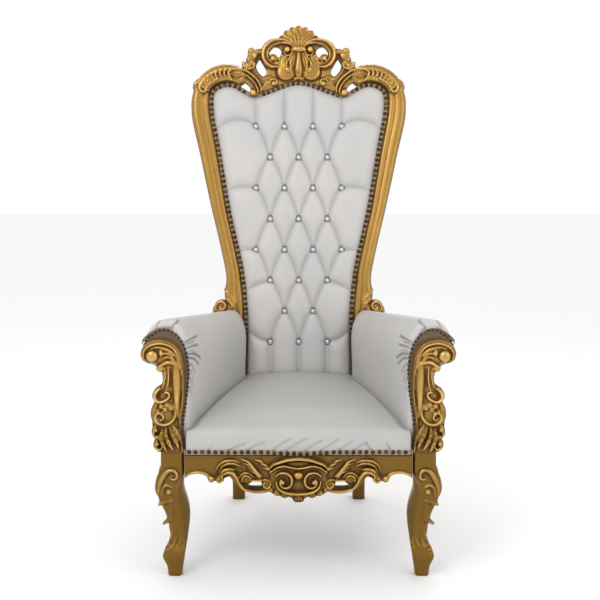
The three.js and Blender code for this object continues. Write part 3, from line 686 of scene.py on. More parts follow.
def carve_shell(board):
    """Seven ribs spread from one root, hollowed toward their rounded tips, over a knotted bar."""
    x = board.x[:, None]
    up = board.y[None, :] - SHELL_ROOT
    turn = np.arctan2(x, up)
    away = np.hypot(x, up)
    lobe = np.clip(np.rint(turn / SHELL_LOBE), -3, 3)
    u = np.clip(2 * (turn - lobe * SHELL_LOBE) / SHELL_LOBE, -1, 1)
    reach = SHELL_REACH - 1.2 * np.abs(lobe)
    round_tip = 11 * (1 - np.sqrt(np.maximum(0, 1 - 0.95 * u * u)))
    edge = np.maximum(away - reach + round_tip, (np.abs(turn) - 3.5 * SHELL_LOBE) * 40)
    share = away / reach
    rib = np.sqrt(np.maximum(0, 1 - u**4))
    dished = 0.4 + 0.6 * np.abs(u) ** 1.6
    opened = smoothstep(0.5, 0.86, share) * (1 - smoothstep(0.93, 1.0, share) * 0.8)
    rise = rib * (1 - opened) + rib**0.5 * dished * opened
    height = 3 + 6 * smoothstep(1, 0.2, share) + 10 * rise
    spot = board.window([(-90, SHELL_ROOT + 6), (0, SHELL_ROOT + 80)], 4)
    board.raise_to(spot, height[spot], edge[spot] < board.cell)
    board.edge = np.minimum(board.edge, np.where(up > 4, edge, 1e3))
    board.stroke([(-21, 1155), (-12, 1156), (0, 1156)], [8, 12, 13], [20, 26, 27], pillow)
    board.cut([(-12, 1156), (-6, 1161), (0, 1162)], 1.5, 3.5)
    board.cut([(-12, 1156), (-6, 1151), (0, 1150)], 1.5, 3.5)


# ---- stiles ----
STILE_OUTER = [(-246, STILE_FOOT), (-249, 272), (-253, 330), (-247, 370), (-250, 411), (-271, 513),
               (-295, 615), (-317, 716), (-338, 818), (-361, 920), (-365, 975), (-362, JOINT)]
STILE_INNER = [(-186.5, STILE_FOOT), (-186.5, 272), (-191, 330), (-196, 370), (-200.5, 411),
               (-222, 513), (-244.5, 615), (-261.5, 716), (-278.5, 818), (-297.5, 920), (-302.5, 975),
               (-302, JOINT)]


def side_curve(points, levels):
    """The x of a smooth edge at each level."""
    fine = spline(points, 200)
    return np.interp(levels, fine[:, 1], fine[:, 0])


def carve_stile():
    board = Carving((-368, STILE_FOOT), (-180, JOINT - 0.4), 2.2, FRAME_REAR)
    levels = np.linspace(STILE_FOOT - 20, JOINT + 20, 90)
    outer = side_curve(STILE_OUTER, levels)
    inner = side_curve(STILE_INNER, levels)
    middle = np.column_stack([(outer + inner) / 2, levels])
    board.stroke(middle, (inner - outer) / 2, 9, stile_section, curved=False)
    board.knob(-262, 285, 26, 12)
    board.stroke(spiral(-262, 286, [20, 17, 10, 4], [215, -190]), [4, 6, 6, 5, 4], [14, 20, 22])
    board.stroke([(-252, 344), (-240, 330), (-229, 312), (-222, 290), (-220, 268)], [3, 6, 8, 9, 9],
                 [11, 14, 14, 12], veined(12))
    board.stroke([(-246, 312), (-232, 300), (-226, 284)], [4, 7, 6], [13, 17, 15])
    board.stroke([(-288, 268), (-284, 282), (-276, 296)], [6, 7, 4], [9, 12, 12])
    board.trim_to(box((-400, STILE_FOOT), (-150, JOINT - 0.4)), keep_inside=True)
    return board


# ---- upholstered back ----
TUFT_TOP = 896
TUFT_RISE = 103.9
TUFT_STEP = 48.25
TUFT_ROWS = {1: (-3, -1, 1, 3), 2: (-2, 0, 2), 3: (-3, -1, 1, 3), 4: (-2, 0, 2), 5: (-3, -1, 1, 3),
             6: (-2, 0, 2), 7: (-1, 1), 8: (-2, 0, 2)}
PAD_REAR = -42
PAD_LOW = 13  # forward height of the pleats
PAD_FULL = 35  # and of the middle of a diamond


def tuft_place(row, column):
    return np.array([column * TUFT_STEP, TUFT_TOP - TUFT_RISE * (row - 1)])


def pleats():
    """The folds between buttons, and from the outer buttons to the frame."""
    folds = []
    for row in range(1, 8):
        for column in TUFT_ROWS[row]:
            for below in (column - 1, column + 1):
                if below in TUFT_ROWS[row + 1]:
                    a, b = tuft_place(row, column), tuft_place(row + 1, below)
                    folds.append([a, a + (b - a) * (0.3, 0.16), a + (b - a) * (0.62, 0.47), b])
    for sign in (-1, 1):
        edge = [
            [(145, 896), (165, 910), (205, 918), (250, 908), (282, 888)],
            [(145, 688), (190, 692), (245, 682)],
            [(145, 480), (212, 478)],
            [(96.5, 376), (135, 362), (182, 342)],
            [(96.5, 169), (130, 176), (176, 205)],
            [(145, 896), (146, 1010)],
            [(48, 896), (50, 1045)],
            [(92, 169), (92, 20)],
            [(101, 169), (101, 20)],
        ]
        folds += [[(sign * x, v) for x, v in fold] for fold in edge]
    folds += [[(-4, 169), (-4, 20)], [(4, 169), (4, 20)]]
    return [spline(fold, 16) for fold in folds]


def shape_pad():
    """The tufted cushion: smooth puffs that meet in creases, drawn down at each button."""
    board = Carving((-300, -8), (300, 1052), 2.6, PAD_REAR)
    crowding = np.zeros_like(board.height)
    for path in pleats():
        spot, gap, *_ = board.trace(path, 90)
        crowding[spot] += (gap + 0.6) ** -3.5
    rim = np.vstack([[(-175, 40)], spline(opening(-6), 300), [(175, 40)]])
    board.edge = board.outline_distance(rim)
    to_rim = np.maximum(-board.edge, 0)
    spread = np.minimum(crowding ** (-1 / 3.5), 60)
    # painted shade along each crease, kept as the fold layer
    board.fold = 0.85 * np.exp(-((spread / 2.1) ** 2))
    rise = np.clip(spread / 38, 0, 1)
    puff = np.sqrt(1 - (1 - rise) ** 2) ** 1.15
    body = PAD_LOW + (PAD_FULL - PAD_LOW) * puff
    roll = np.sqrt(1 - (1 - np.clip(to_rim / 46, 0, 1)) ** 2)
    height = -3 + (body + 3) * roll
    for row, columns in TUFT_ROWS.items():
        for column in columns:
            x, v = tuft_place(row, column)
            dx, dy = board.x[:, None] - x, board.y[None, :] - v
            away, turn = np.hypot(dx, dy), np.arctan2(dy, dx)
            height -= 7 * np.exp(-((away / 11) ** 2))
            ray = np.cos(7 * turn + row + 2 * column) * smoothstep(8, 16, away) * np.exp(-((away / 26) ** 2))
            height += 0.7 * ray
    board.height = height
    board.settle(0.55)
    return board


def add_back_pad(leather):
    board = shape_pad()
    points, faces, _ = board.surface(deep_cell=4.0)
    # the fold layer carries painted shade along the creases
    board.height = board.fold
    layers = {"fold": sample(board, points[:, 0], points[:, 1])}
    pad = add_mesh("tufted_back", back_place(points), faces, [leather], ["back_pad"], layers)


def lofted(rings):
    """Quads over rings of equal length, with the two ends closed."""
    rings = np.asarray(rings, float)
    rows, count = rings.shape[:2]
    faces = [tuple(range(count))[::-1], tuple(range((rows - 1) * count, rows * count))]
    for start in range(0, (rows - 1) * count, count):
        for i in range(count):
            j = (i + 1) % count
            faces.append((start + i, start + j, start + count + j, start + count + i))
    return rings.reshape(-1, 3), faces


def turned_over(faces):
    return [face[::-1] for face in faces]


SIDES = {-1: "left", 1: "right"}


def side_loft(rings, side):
    """A loft drawn on the right, or its mirror image on the left, in metres."""
    points, faces = lofted(rings)
    points += (0, CENTRE_SHIFT, 0)
    return points * (side * MM, MM, MM), turned_over(faces) if side < 0 else faces


def add_strip(name, path, place, width, low, high, material, node):
    """A woven gimp laid along a path, with its run and its width kept for the weave."""
    half = width / 2
    shoulder = low + 0.6 * (high - low)
    section = [(-half, low), (-half, shoulder), (-half + 1.2, high), (-half / 3, high - 0.2),
               (half / 3, high - 0.2), (half - 1.2, high), (half, shoulder), (half, low)]
    rings = [[(*(p + side * across), forward) for across, forward in section]
             for p, side in zip(path, left_of(path))]
    points, faces = lofted(rings)
    across = np.tile([s[0] for s in section], len(path))
    layers = {"run": np.repeat(run_along(path), len(section)), "across": across}
    add_mesh(name, place(points), turned_over(faces), [material], [node], layers)


def turned(centre, rings, sides, first):
    """Rings of (radius, rise) round a centre, closed at the foot; first is the first point's number."""
    x, y, forward = centre
    angles = [2 * math.pi * k / sides for k in range(sides)]
    points = [(x + radius * math.cos(a), y + radius * math.sin(a), forward + rise)
              for radius, rise in rings for a in angles]
    faces = [tuple(range(first, first + sides))[::-1]]
    for start in range(first, first + (len(rings) - 1) * sides, sides):
        for k in range(sides):
            a, b = start + k, start + (k + 1) % sides
            faces.append((a, b, b + sides, a + sides))
    return points, faces


NAIL_DOME = [(1.0, 0.0), (0.97, 0.35), (0.8, 0.72), (0.5, 0.93)]
NAIL_SIDES = 14


def add_nails(name, path, place, radius, pitch, forward, material, keep=lambda x, y: True):
    """Domed nail heads one pitch apart, none of them quite in line."""
    wander = np.random.default_rng(SEED)
    height = 0.62 * radius
    rings = [(radius * share, height * rise) for share, rise in NAIL_DOME]
    points, faces = [], []
    for x, y in at_run(path, np.arange(pitch / 2, run_along(path)[-1], pitch)):
        if not keep(x, y):
            continue
        dx, dy, lift = wander.normal(0, 0.45, 3)
        centre = (x + dx, y + dy, forward + 0.3 * lift)
        dome_points, dome_faces = turned(centre, rings, NAIL_SIDES, len(points))
        points += [*dome_points, (centre[0], centre[1], centre[2] + height)]
        faces += dome_faces
        crown = len(points) - 1 - NAIL_SIDES
        faces += [(crown + k, crown + (k + 1) % NAIL_SIDES, len(points) - 1) for k in range(NAIL_SIDES)]
    return add_mesh(name, place(points), faces, [material])


def clear_of_scroll(x, y):
    """False where the shoulder's scroll covers the nails."""
    return not 134 < abs(x) < 176 or y < 900


def add_back_trim(gimp, bronze):
    path = spline(opening(0), 420)
    path = path[path[:, 1] > 196]
    add_strip("back_gimp", path, back_place, 13.5, -2.4, 2.2, gimp, "back_trim")
    add_nails("back_nails", path, back_place, 6.6, 17.6, 1.6, bronze, clear_of_scroll)


BUTTON_SIDES = 16
BUTTON_RINGS = [(11.8, 13.5), (12.6, 18.0), (11.8, 20.8), (9.8, 21.8), (8.2, 20.8), (6.8, 20.2),
                (5.4, 20.6), (4.0, 22.4), (2.4, 23.4)]
BUTTON_PARTS = [1, 1, 1, 2, 2, 2, 0, 0]  # between the rings: leather rim, bezel, crystal


def add_buttons(crystal, rim, bezel):
    """Faceted crystals in silver bezels, each in a leather rim."""
    points, faces, parts = [], [], []
    for row, columns in TUFT_ROWS.items():
        for column in columns:
            centre = (*tuft_place(row, column), 0)
            ring_points, ring_faces = turned(centre, BUTTON_RINGS, BUTTON_SIDES, len(points))
            points += ring_points
            faces += [*ring_faces, tuple(range(len(points) - BUTTON_SIDES, len(points)))]
            parts += [1, *np.repeat(BUTTON_PARTS, BUTTON_SIDES), 0]
    nodes = [f"button_{row}_{i + 1}" for row, columns in TUFT_ROWS.items() for i in range(len(columns))]
    piece = add_mesh("crystal_buttons", back_place(points), faces, [crystal, rim, bezel],
                     nodes)
    piece.data.polygons.foreach_set("material_index", parts)
    piece.data.polygons.foreach_set("use_smooth", [part > 0 for part in parts])


# ---- seat ----
SEAT_FRONT = -372
SEAT_REAR = 204
SEAT_HALVES = (323, 180)
SEAT_BOTTOM = 374


def seat_half(y):
    return np.interp(y, [SEAT_FRONT, SEAT_REAR], SEAT_HALVES)


def seat_creases():
    """Pulls in the cover, over (across, run up from the front's lower edge)."""
    board = Carving((-330, -10), (330, 700), 3)
    wander = np.random.default_rng(SEED)
    pulls = [
        (-262, 4, -246, 34), (-207, 10, -150, 38), (-156, 8, -95, 42), (-83, 5, -20, 52), (-48, 3, 30, 55),
        (10, 3, 72, 48), (52, 3, 120, 52), (98, 3, 156, 44), (150, 6, 200, 40), (218, 3, 192, 42),
        (268, 3, 250, 40),
    ]
    for x, low, end, high in pulls:
        middle = ((x + end) / 2 + wander.normal(0, 3), (low + high) / 2 + 3)
        path = [(x, low), middle, (end, high)]
        board.cut(path, 2.8, 4.4)
        board.cut([(px + 3, py + 7) for px, py in path], 5, -2.2)
    board.settle(0.6)
    return board


# y and z from the front's lower edge, over the nose, to the rear tucked under the back's pad
SEAT_PROFILE = [
    (SEAT_FRONT, SEAT_BOTTOM), (SEAT_FRONT, 382), (SEAT_FRONT - 3, 402), (SEAT_FRONT - 1, 426),
    (SEAT_FRONT + 9, 446), (SEAT_FRONT + 34, 456), (SEAT_FRONT + 90, 466), (-190, 474), (-80, 480),
    (60, 481), (150, 478), (SEAT_REAR, 475), (SEAT_REAR + 18, 471), (SEAT_REAR + 29, 458),
]
SEAT_TAIL = [(SEAT_REAR + 26, 444), (SEAT_REAR + 4, 438), (SEAT_REAR, 428), (SEAT_REAR, SEAT_BOTTOM)]


def add_seat(leather):
    profile = spline(SEAT_PROFILE, 262)
    y, z = profile.T
    run = run_along(profile)
    deep = np.clip((y - SEAT_FRONT) / 120, 0, 1)
    tilt = np.clip(run / 90, 0, 1)
    half = seat_half(y) + 20 * smoothstep(5, 16, y - SEAT_REAR)
    creases = seat_creases()
    even = np.linspace(-1, 1, 261)
    rings, folds = [], []
    for u in 0.35 * np.sin(even * math.pi / 2) + 0.65 * even:
        crown = 16 * deep * (1 - u * u) - 17 * smoothstep(0.86, 1, abs(u)) ** 2 * smoothstep(0.02, 0.3, deep)
        pull = sample(creases, u * half, run)
        ring = np.column_stack([u * half, y - pull * (1 - tilt), z + crown + pull * tilt])
        tail = [(u * seat_half(tail_y), tail_y, tail_z) for tail_y, tail_z in SEAT_TAIL]
        rings.append(np.vstack([ring, tail]))
        # painted shade in the line of each pull, kept as the fold layer
        folds.append([*np.clip(-pull / 3.2, 0, 1) * 0.75, *[0] * len(tail)])
    points, faces = lofted(rings)
    points = (points + (0, CENTRE_SHIFT, 0)) * MM
    seat = add_mesh("seat_top", points, turned_over(faces), [leather], ["seat_cushion"],
                    {"fold": np.concatenate(folds)})


def add_seat_trim(gimp, bronze):
    x = np.linspace(-324, 324, 90)
    dip = 4.5 * np.exp(-((x / 75) ** 2))
    path = np.column_stack([x, 383 - dip])
    add_strip("seat_gimp", path, front_place, 13, 372.4, 375.8, gimp, "seat_trim")
    add_nails("seat_nails", path, front_place, 6.6, 18.9, 374.6, bronze)


# ---- arms ----
ARM_FRONT = -345
ARM_LENGTH = 600
ARM_TOPS = (766, 696)
ARM_BOTTOM = 384
ARM_WIDTHS = (126, 100)
ARM_SECTION = [(0, 0), (0, 0.2), (0, 0.4), (-0.02, 0.56), (-0.03, 0.69), (-0.005, 0.79), (0.065, 0.88),
               (0.18, 0.95), (0.33, 0.99), (0.5, 1), (0.67, 0.99), (0.84, 0.95), (0.96, 0.88), (1, 0.79),
               (0.93, 0.71), (0.72, 0.665), (0.6, 0.6), (0.57, 0.45), (0.59, 0.2), (0.6, 0)]


def arm_creases():
    """Gathers that run back from the arm's front edge, over (run round the section, depth)."""
    board = Carving((0, -5), (1300, 200), 2.2)
    gathers = [
        (317, 0, 100, 5), (309, 2, 66, 3.5), (299, 8, 92, 4.5), (291, 22, 75, 3.5), (283, 36, 108, 5.5),
        (272, 40, 92, 5), (258, 46, 58, 4), (243, 56, 44, 4), (220, 50, 38, 4), (190, 40, 34, 3),
        (378, -12, 48, 4), (428, -5, 42, 4), (484, 0, 36, 3), (540, 4, 34, 3), (600, 6, 36, 3),
    ]
    for start, drift, length, depth in gathers:
        path = [(start, -14), (start - drift * 0.35, length * 0.5), (start - drift, length)]
        board.cut(path, 2.6, depth * 1.25)
        board.cut([(x + 6, y) for x, y in path], 4, -1.8)
    board.settle(0.7)
    board.height[:, -6:] = 0  # the blur wraps round from the front edge
    return board


def arm_ring(share, section, creases):
    """The arm's section at a share of its length, with its gathers pressed in, and their shade."""
    deep = share * ARM_LENGTH
    near = np.clip(deep / 22, 0, 1)
    swell = 1 - 0.075 * (1 - np.sqrt(near * (2 - near)))
    outward, up = section.T
    lift = np.where(up > 0.3, 0.4 + 0.6 * swell, 1)
    z = ARM_BOTTOM + (along(ARM_TOPS, share) - ARM_BOTTOM) * up * lift
    rear = 235 + (z - 420) * math.tan(LEAN) - 24
    y = ARM_FRONT + (rear - ARM_FRONT) * share
    x = seat_half(y) + 1 + along(ARM_WIDTHS, share) * (0.4 + (outward - 0.4) * swell)
    ring = np.column_stack([x, y, z])
    tangent = np.roll(ring, -1, 0) - np.roll(ring, 1, 0)
    out = np.column_stack([tangent[:, 2], np.zeros(len(ring)), -tangent[:, 0]])
    out /= np.maximum(np.linalg.norm(out, axis=1), 1e-6)[:, None]
    push = sample(creases, run_along(ring[:, [0, 2]]), np.full(len(ring), deep))
    ring[:, 1] += push * np.clip(1 - deep / 24, 0, 1) * 0.4
    return ring - out * push[:, None], np.clip(-push / 3, 0, 1)


def add_arm(side, leather):
    """One padded arm; side is -1 for the left and 1 for the right."""
    section = spline(ARM_SECTION, 400)
    creases = arm_creases()
    stations = [0, 0.003, 0.008, 0.015, 0.025, 0.04, *np.linspace(0.055, 1, 84)]
    rings, folds = zip(*(arm_ring(share, section, creases) for share in stations))
    points, faces = side_loft(rings, side)
    # the fold layer is painted shade in the gathers
    arm = add_mesh(f"padded_arm_{SIDES[side]}", points, faces, [leather],
                   [f"arm_pad_{SIDES[side]}"], {"fold": np.concatenate(folds)})


# ---- leather, gimp, nails and crystal ----
def white_leather(name, colour=(0.545, 0.525, 0.505), roughness=0.44):
    """Leatherette, with painted shade in the line of each fold."""
    shader = Shader(name)
    fold = shader.attribute("fold")
    sockets = {"Vector": shader.place(), "Scale": 620}
    pebble = shader.node("ShaderNodeTexVoronoi", {"feature": "DISTANCE_TO_EDGE"}, sockets)
    cloud = shader.noise(4.5, 3)
    soft = shader.noise(38, 4)
    shader.bump(pebble.band(0, 0.35) * 0.6 + soft * 0.9, 0.16, 0.0008)
    cool = tuple(c * f for c, f in zip(colour, (0.93, 0.95, 0.97)))
    # painted shade colour laid into the folds
    deep = tuple(c * 0.42 for c in colour)
    return shader.finish(
        Base_Color=shader.mix(fold, shader.mix(cloud.band(0.35, 0.7), cool, colour), deep),
        Roughness=roughness + (soft - 0.5) * 0.12,
    )


def gold_gimp():
    """A narrow braid: slanted cords from both edges, in dulled gold and cream."""
    shader = Shader("gold_gimp")
    run = shader.attribute("run")
    across = shader.attribute("across")
    slant = (run * 1.6 + across.math("ABSOLUTE") * 1.3).math("SINE")
    thread = (run * 7.5 - across * 5).math("SINE")
    wear = shader.noise(60, 3)
    tone = slant * 0.5 + 0.5
    shader.bump(tone * 0.8 + thread * 0.15, 0.7, 0.0012)
    colour = shader.mix(tone * 0.8 + (wear - 0.5) * 0.6, (0.26, 0.18, 0.10), (0.56, 0.47, 0.35))
    return shader.finish(Base_Color=colour, Roughness=0.55, Metallic=0.2)


def facing_braid():
    """The grey-gold band that closes the front of each arm."""
    shader = Shader("facing_braid")
    wave = shader.node("ShaderNodeTexWave", {"bands_direction": "DIAGONAL"},
                       {"Vector": shader.place(), "Scale": 260, "Distortion": 1.5})
    cloud = shader.noise(30, 3)
    shader.bump(wave, 0.5, 0.0008)
    colour = shader.mix(wave * 0.6 + cloud * 0.4, (0.105, 0.072, 0.042), (0.25, 0.185, 0.12))
    return shader.finish(Base_Color=colour, Roughness=0.6, Metallic=0.3)


def dark_bronze():
    shader = Shader("dark_bronze_nails")
    spots = shader.noise(90, 4)
    colour = shader.mix(spots.band(0.45, 0.8), (0.05, 0.026, 0.013), (0.26, 0.16, 0.075))
    shader.bump(spots, 0.3, 0.0006)
    return shader.finish(Base_Color=colour, Metallic=0.85, Roughness=0.34 + (spots - 0.5) * 0.2)


def cut_crystal():
    shader = Shader("cut_crystal")
    glint = shader.noise(420, 2)
    colour = shader.mix(glint, (0.72, 0.76, 0.80), (0.96, 0.97, 0.98))
    return shader.finish(Base_Color=colour, Metallic=0.55, Roughness=0.08 + glint * 0.06)


def silver_bezel():
    shader = Shader("silver_bezel")
    spots = shader.noise(240, 3)
    colour = shader.mix(spots, (0.16, 0.16, 0.17), (0.38, 0.38, 0.39))
    return shader.finish(Base_Color=colour, Metallic=0.5, Roughness=0.32 + spots * 0.1)


# ---- front rail ----
def carve_front_rail():
    board = Carving((-329, 236), (0, 372), 1.7, rear=RAIL_FACE - 30, face=RAIL_FACE, root=-6, wider=1.15,
                    taller=1.15, half=True)
    lower = [(0, 241), (-18, 243), (-24, 250), (-45, 248), (-58, 254), (-72, 257), (-86, 267), (-112, 264),
             (-148, 268), (-166, 280), (-184, 304), (-206, 314), (-222, 304), (-254, 304), (-266, 317),
             (-290, 322), (-312, 320), (-329, 306)]
    hole = spline([(-148, 285), (-141, 277), (-106, 276), (-103, 288), (-110, 297), (-140, 296),
                   (-148, 285)])[:-1]
    board.ground([*lower, (-329, 372), (0, 372)], 0, [hole])
    board.cut([(-329, 366), (0, 366)], 1.2, 1.5, curved=False)
    board.stroke([(-330, 310), (-314, 320), (-290, 325), (-268, 320), (-254, 308)], [4, 5, 6, 6], [6, 7, 8])
    board.knob(-251, 304, 11, 13)
    board.knob(-228, 304, 13, 15)
    board.stroke(spiral(-228, 305, [12, 8, 3], [60, -260]), [3, 3.5, 3], [15, 17, 18])
    carve_s_scroll(board)
    carve_rail_fronds(board)
    carve_cartouche(board)
    board.trim_to(box((-329, 230), (5, 372)), keep_inside=True)
    return board


def carve_s_scroll(board):
    """Ridges that leave the plain board in an arc and run down into the link."""
    board.stroke([(-238, 326), (-230, 345), (-212, 358), (-186, 360), (-166, 352)], [2, 4, 4.5, 4, 2],
                 [5, 9, 10, 6])
    board.stroke([(-230, 324), (-222, 340), (-206, 350), (-184, 351), (-164, 341)], [2, 4, 5, 4, 2],
                 [5, 10, 11, 7])
    board.stroke([(-228, 316), (-214, 332), (-196, 336), (-180, 332)], [4, 6, 5, 2], [8, 13, 13, 8])
    board.stroke([(-222, 314), (-206, 325), (-190, 324), (-178, 309), (-169, 290), (-158, 276),
                  (-148, 270)], [4, 6, 7, 7, 6, 6, 5], [12, 15, 15, 14, 12, 10])
    board.stroke([(-212, 310), (-197, 316), (-186, 304), (-176, 288), (-166, 278)], [3, 5, 5, 4, 3],
                 [8, 10, 10, 8])


def carve_rail_fronds(board):
    board.knob(-150, 305, 20, 8)
    for radius, top in ((21, 10), (13, 13)):
        board.stroke(spiral(-150, 303, [radius, radius], [200, 20]), [3, 4, 4, 3], top)
    starts = [(-166, 364), (-158, 352), (-150, 341), (-144, 331)]
    for i, (x, y) in enumerate(starts):
        board.stroke([(x, y), (x + 22, y - 8), (x + 38 - 2 * i, y - 26 + i), (-104 - i * 3, 312)],
                     [2, 5, 5, 2.5], [6, 12, 13, 8])
    for x, y in [(-126, 362), (-112, 350), (-104, 338)]:
        board.stroke([(x, y), (x + 18, y - 4), (x + 27, y - 16)], [2, 5, 2], [6, 11, 7])
    board.stroke([(-152, 273), (-128, 267), (-104, 267), (-82, 274)], [6, 6, 6, 6], [9, 8, 8])
    board.stroke([(-150, 294), (-140, 300), (-112, 300), (-98, 304)], [4, 4, 4, 4], [6, 7, 7])
    board.knob(-93, 290, 15, 9)
    board.stroke(spiral(-93, 290, [14, 12, 6], [120, -230]), [3, 4, 3], [10, 13, 14])


def carve_cartouche(board):
    oval = [(84 * math.cos(a), 305 + 50 * math.sin(a)) for a in np.linspace(math.pi / 2, 1.5 * math.pi, 30)]
    board.ground([*oval, (2, 255), (2, 355)], 5)
    board.cut([(-86, 336), (-84, 318), (-83, 300), (-80, 282)], 2.5, 5)
    # scalloped foot
    for x, y, radius in [(-80, 273, 9), (-62, 263, 11), (-40, 257, 12), (-20, 256, 9)]:
        board.knob(x, y, radius, 11, tall=0.95)
    board.stroke([(0, 262), (0, 250), (0, 241)], [9, 12, 14], [14, 15, 12], fluted(4))
    # rims: cap, brow and the long lower lip
    board.stroke([(-88, 332), (-74, 348), (-56, 356), (-30, 364), (0, 367)], [3, 5, 5.5, 6, 6],
                 [12, 18, 20, 20])
    board.stroke([(-84, 322), (-64, 339), (-42, 345), (-22, 341), (0, 337)], [2.5, 4, 5, 5, 5],
                 [9, 14, 15, 13])
    board.stroke([(-64, 300), (-61, 286), (-50, 274), (-30, 266), (0, 263)], [3, 5, 6, 6, 6],
                 [14, 20, 21, 20])
    # volute with its eye, and the drop in the middle
    board.stroke(spiral(-42, 299, [27, 26, 22, 13, 9], [150, -230]), [4, 5.5, 6, 5, 3],
                 [12, 17, 19, 19, 17])
    board.knob(-45, 297, 7, 20)
    board.knob(0, 317, 15, 20, tall=0.9)
    board.cut([(-20, 300), (-10, 296), (0, 295)], 2, 3)
    board.cut([(-14, 332), (-7, 328), (0, 327)], 2, 4)


# ---- arm posts ----
POST_BACK = 349.8
POST_FACE = POST_BACK + 34


def carve_arm_post():
    board = Carving((-450, 384), (-322, 718), 1.7, rear=POST_BACK, face=POST_FACE, root=-10, wider=1.12,
                    taller=0.95)
    body = spline([(-404, 384), (-406, 396), (-409, 412), (-414, 432), (-418, 460), (-418, 485),
                   (-412, 520), (-411, 545), (-404, 562), (-394, 576), (-386, 592), (-383, 612),
                   (-388, 632), (-394, 646)], 40)
    inner = spline([(-336, 650), (-329, 630), (-325, 600), (-325, 565), (-328, 530), (-334, 490),
                    (-337, 450), (-333, 415), (-330, 384)], 40)
    board.ground([*body, *inner], -6)
    board.knob(-392, 676, 51, 4, tall=0.66, flat=4)
    board.stroke([(-368, 384), (-370, 420), (-374, 460), (-374, 500), (-368, 540), (-358, 575),
                  (-355, 610), (-358, 645)], [28, 29, 32, 32, 30, 24, 23, 24], [-4, -2, 1, 1, 1, 0, -1, 1],
                 pillow)
    carve_post_head(board)
    carve_post_shaft(board)
    carve_post_foot(board)
    board.trim_to(box((-460, 384), (-300, 730)), keep_inside=True)
    return board


def carve_post_head(board):
    board.stroke([(-331, 612), (-334, 646), (-344, 676), (-362, 696), (-392, 704), (-420, 697),
                  (-436, 680), (-436, 660), (-424, 650)], [5, 7, 8, 9, 9, 9, 9, 8, 5],
                 [6, 9, 12, 13, 14, 14, 14, 12, 8], reeded)
    board.stroke([(-336, 640), (-350, 672), (-372, 690), (-402, 692), (-420, 684)], [2, 3, 3.5, 3, 2],
                 [8, 13, 14, 12])
    board.knob(-413, 668, 18, 19)
    board.cut(spiral(-413, 668, [19, 19], [-20, 150]), 1.8, 4)
    board.knob(-392, 632, 13, 8)
    board.knob(-387, 676, 8, 13)
    board.stroke([(-392, 684), (-380, 688), (-364, 682), (-352, 668)], [3, 5, 5, 3], [10, 13, 13, 9])
    board.stroke([(-390, 666), (-378, 676), (-362, 672), (-350, 658)], [3, 5, 5, 3], [9, 13, 13, 9])
    board.stroke([(-388, 656), (-370, 665), (-352, 656), (-342, 646)], [3, 5, 5, 3], [8, 12, 12, 8])
    board.stroke([(-390, 640), (-370, 650), (-350, 646), (-334, 634)], [5, 6.5, 6.5, 5], [9, 12, 12, 8],
                 pillow)


def carve_post_shaft(board):
    board.stroke([(-379, 632), (-378, 604), (-384, 580), (-394, 566)], [2.5, 3, 3, 2], [4, 5, 5, 3])
    board.stroke([(-369, 634), (-368, 604), (-372, 578), (-380, 562)], [3, 4, 4, 2], [5, 7, 7, 4])
    board.cut([(-361, 634), (-361, 600), (-364, 572)], 1.8, 3)
    board.stroke([(-347, 634), (-345, 600), (-345, 570), (-346, 540), (-345, 512), (-342, 490)],
                 [11, 13, 13, 11, 9, 5], [9, 13, 14, 13, 10, 5])
    board.stroke([(-328, 626), (-328, 570), (-331, 530), (-337, 488), (-339, 450), (-335, 410),
                  (-332, 386)], [3, 3.5, 3.5, 3.5, 3, 3, 3], [4, 5, 5, 5, 4, 3])


def carve_post_foot(board):
    board.stroke([(-394, 574), (-406, 560), (-408, 545), (-397, 535), (-381, 538), (-367, 550),
                  (-370, 562), (-381, 560)], [4, 6.5, 7.5, 7, 6, 6, 5, 4], [7, 12, 14, 14, 13, 13, 12, 9])
    board.knob(-379, 491, 24, 6, flat=4)
    for x, y, radius in [(-390, 521, 8), (-374, 525, 9), (-363, 516, 8), (-379, 511, 8)]:
        board.knob(x, y, radius, 10)
    board.stroke([(-402, 532), (-410, 512), (-412, 490), (-405, 466)], [6, 9, 9, 6], [4, 7, 7, 5])
    board.stroke([(-372, 532), (-360, 520), (-350, 500)], [4, 6, 4], [6, 8, 5], veined(9))
    board.stroke([(-386, 505), (-400, 502), (-407, 489), (-400, 475), (-384, 469), (-366, 474),
                  (-353, 489), (-350, 508), (-355, 526)], [4, 6, 7, 7.5, 7.5, 7, 6, 5, 4],
                 [10, 13, 15, 16, 16, 15, 13, 10, 6])
    board.stroke([(-398, 512), (-400, 505), (-388, 498), (-384, 488), (-392, 482), (-398, 488)],
                 [4, 5.5, 6, 6, 5, 4], [8, 12, 14, 15, 15, 13])
    board.stroke([(-397, 470), (-410, 458), (-414, 440), (-406, 428), (-396, 432)], [4, 6, 6, 5, 3],
                 [6, 8, 9, 8])
    board.stroke([(-401, 424), (-410, 412), (-407, 398), (-396, 394), (-390, 403)], [3, 5, 6, 5, 3],
                 [6, 8, 8, 7])
    leaves = [
        [(-389, 456), (-392, 430), (-386, 408), (-377, 388)],
        [(-378, 464), (-378, 436), (-369, 412), (-358, 392)],
        [(-368, 464), (-360, 442), (-350, 420), (-342, 396)],
        [(-360, 468), (-349, 448), (-340, 430), (-334, 412)],
    ]
    for points in leaves:
        board.stroke(points, [4, 8.5, 8, 3], [9, 14, 13, 6], veined(16))
    for x, y, radius in [(-408, 452, 8), (-403, 431, 7), (-405, 411, 8)]:
        board.knob(x, y, radius, 9)


FACING_EDGE = [(-325, 384), (-330, 440), (-328, 480), (-316, 560), (-312, 620), (-316, 660), (-326, 692),
               (-345, 722), (-375, 738), (-405, 732), (-434, 710), (-446, 684), (-436, 660), (-410, 648),
               (-384, 622), (-384, 590), (-404, 550), (-408, 480), (-406, 440), (-396, 384)]


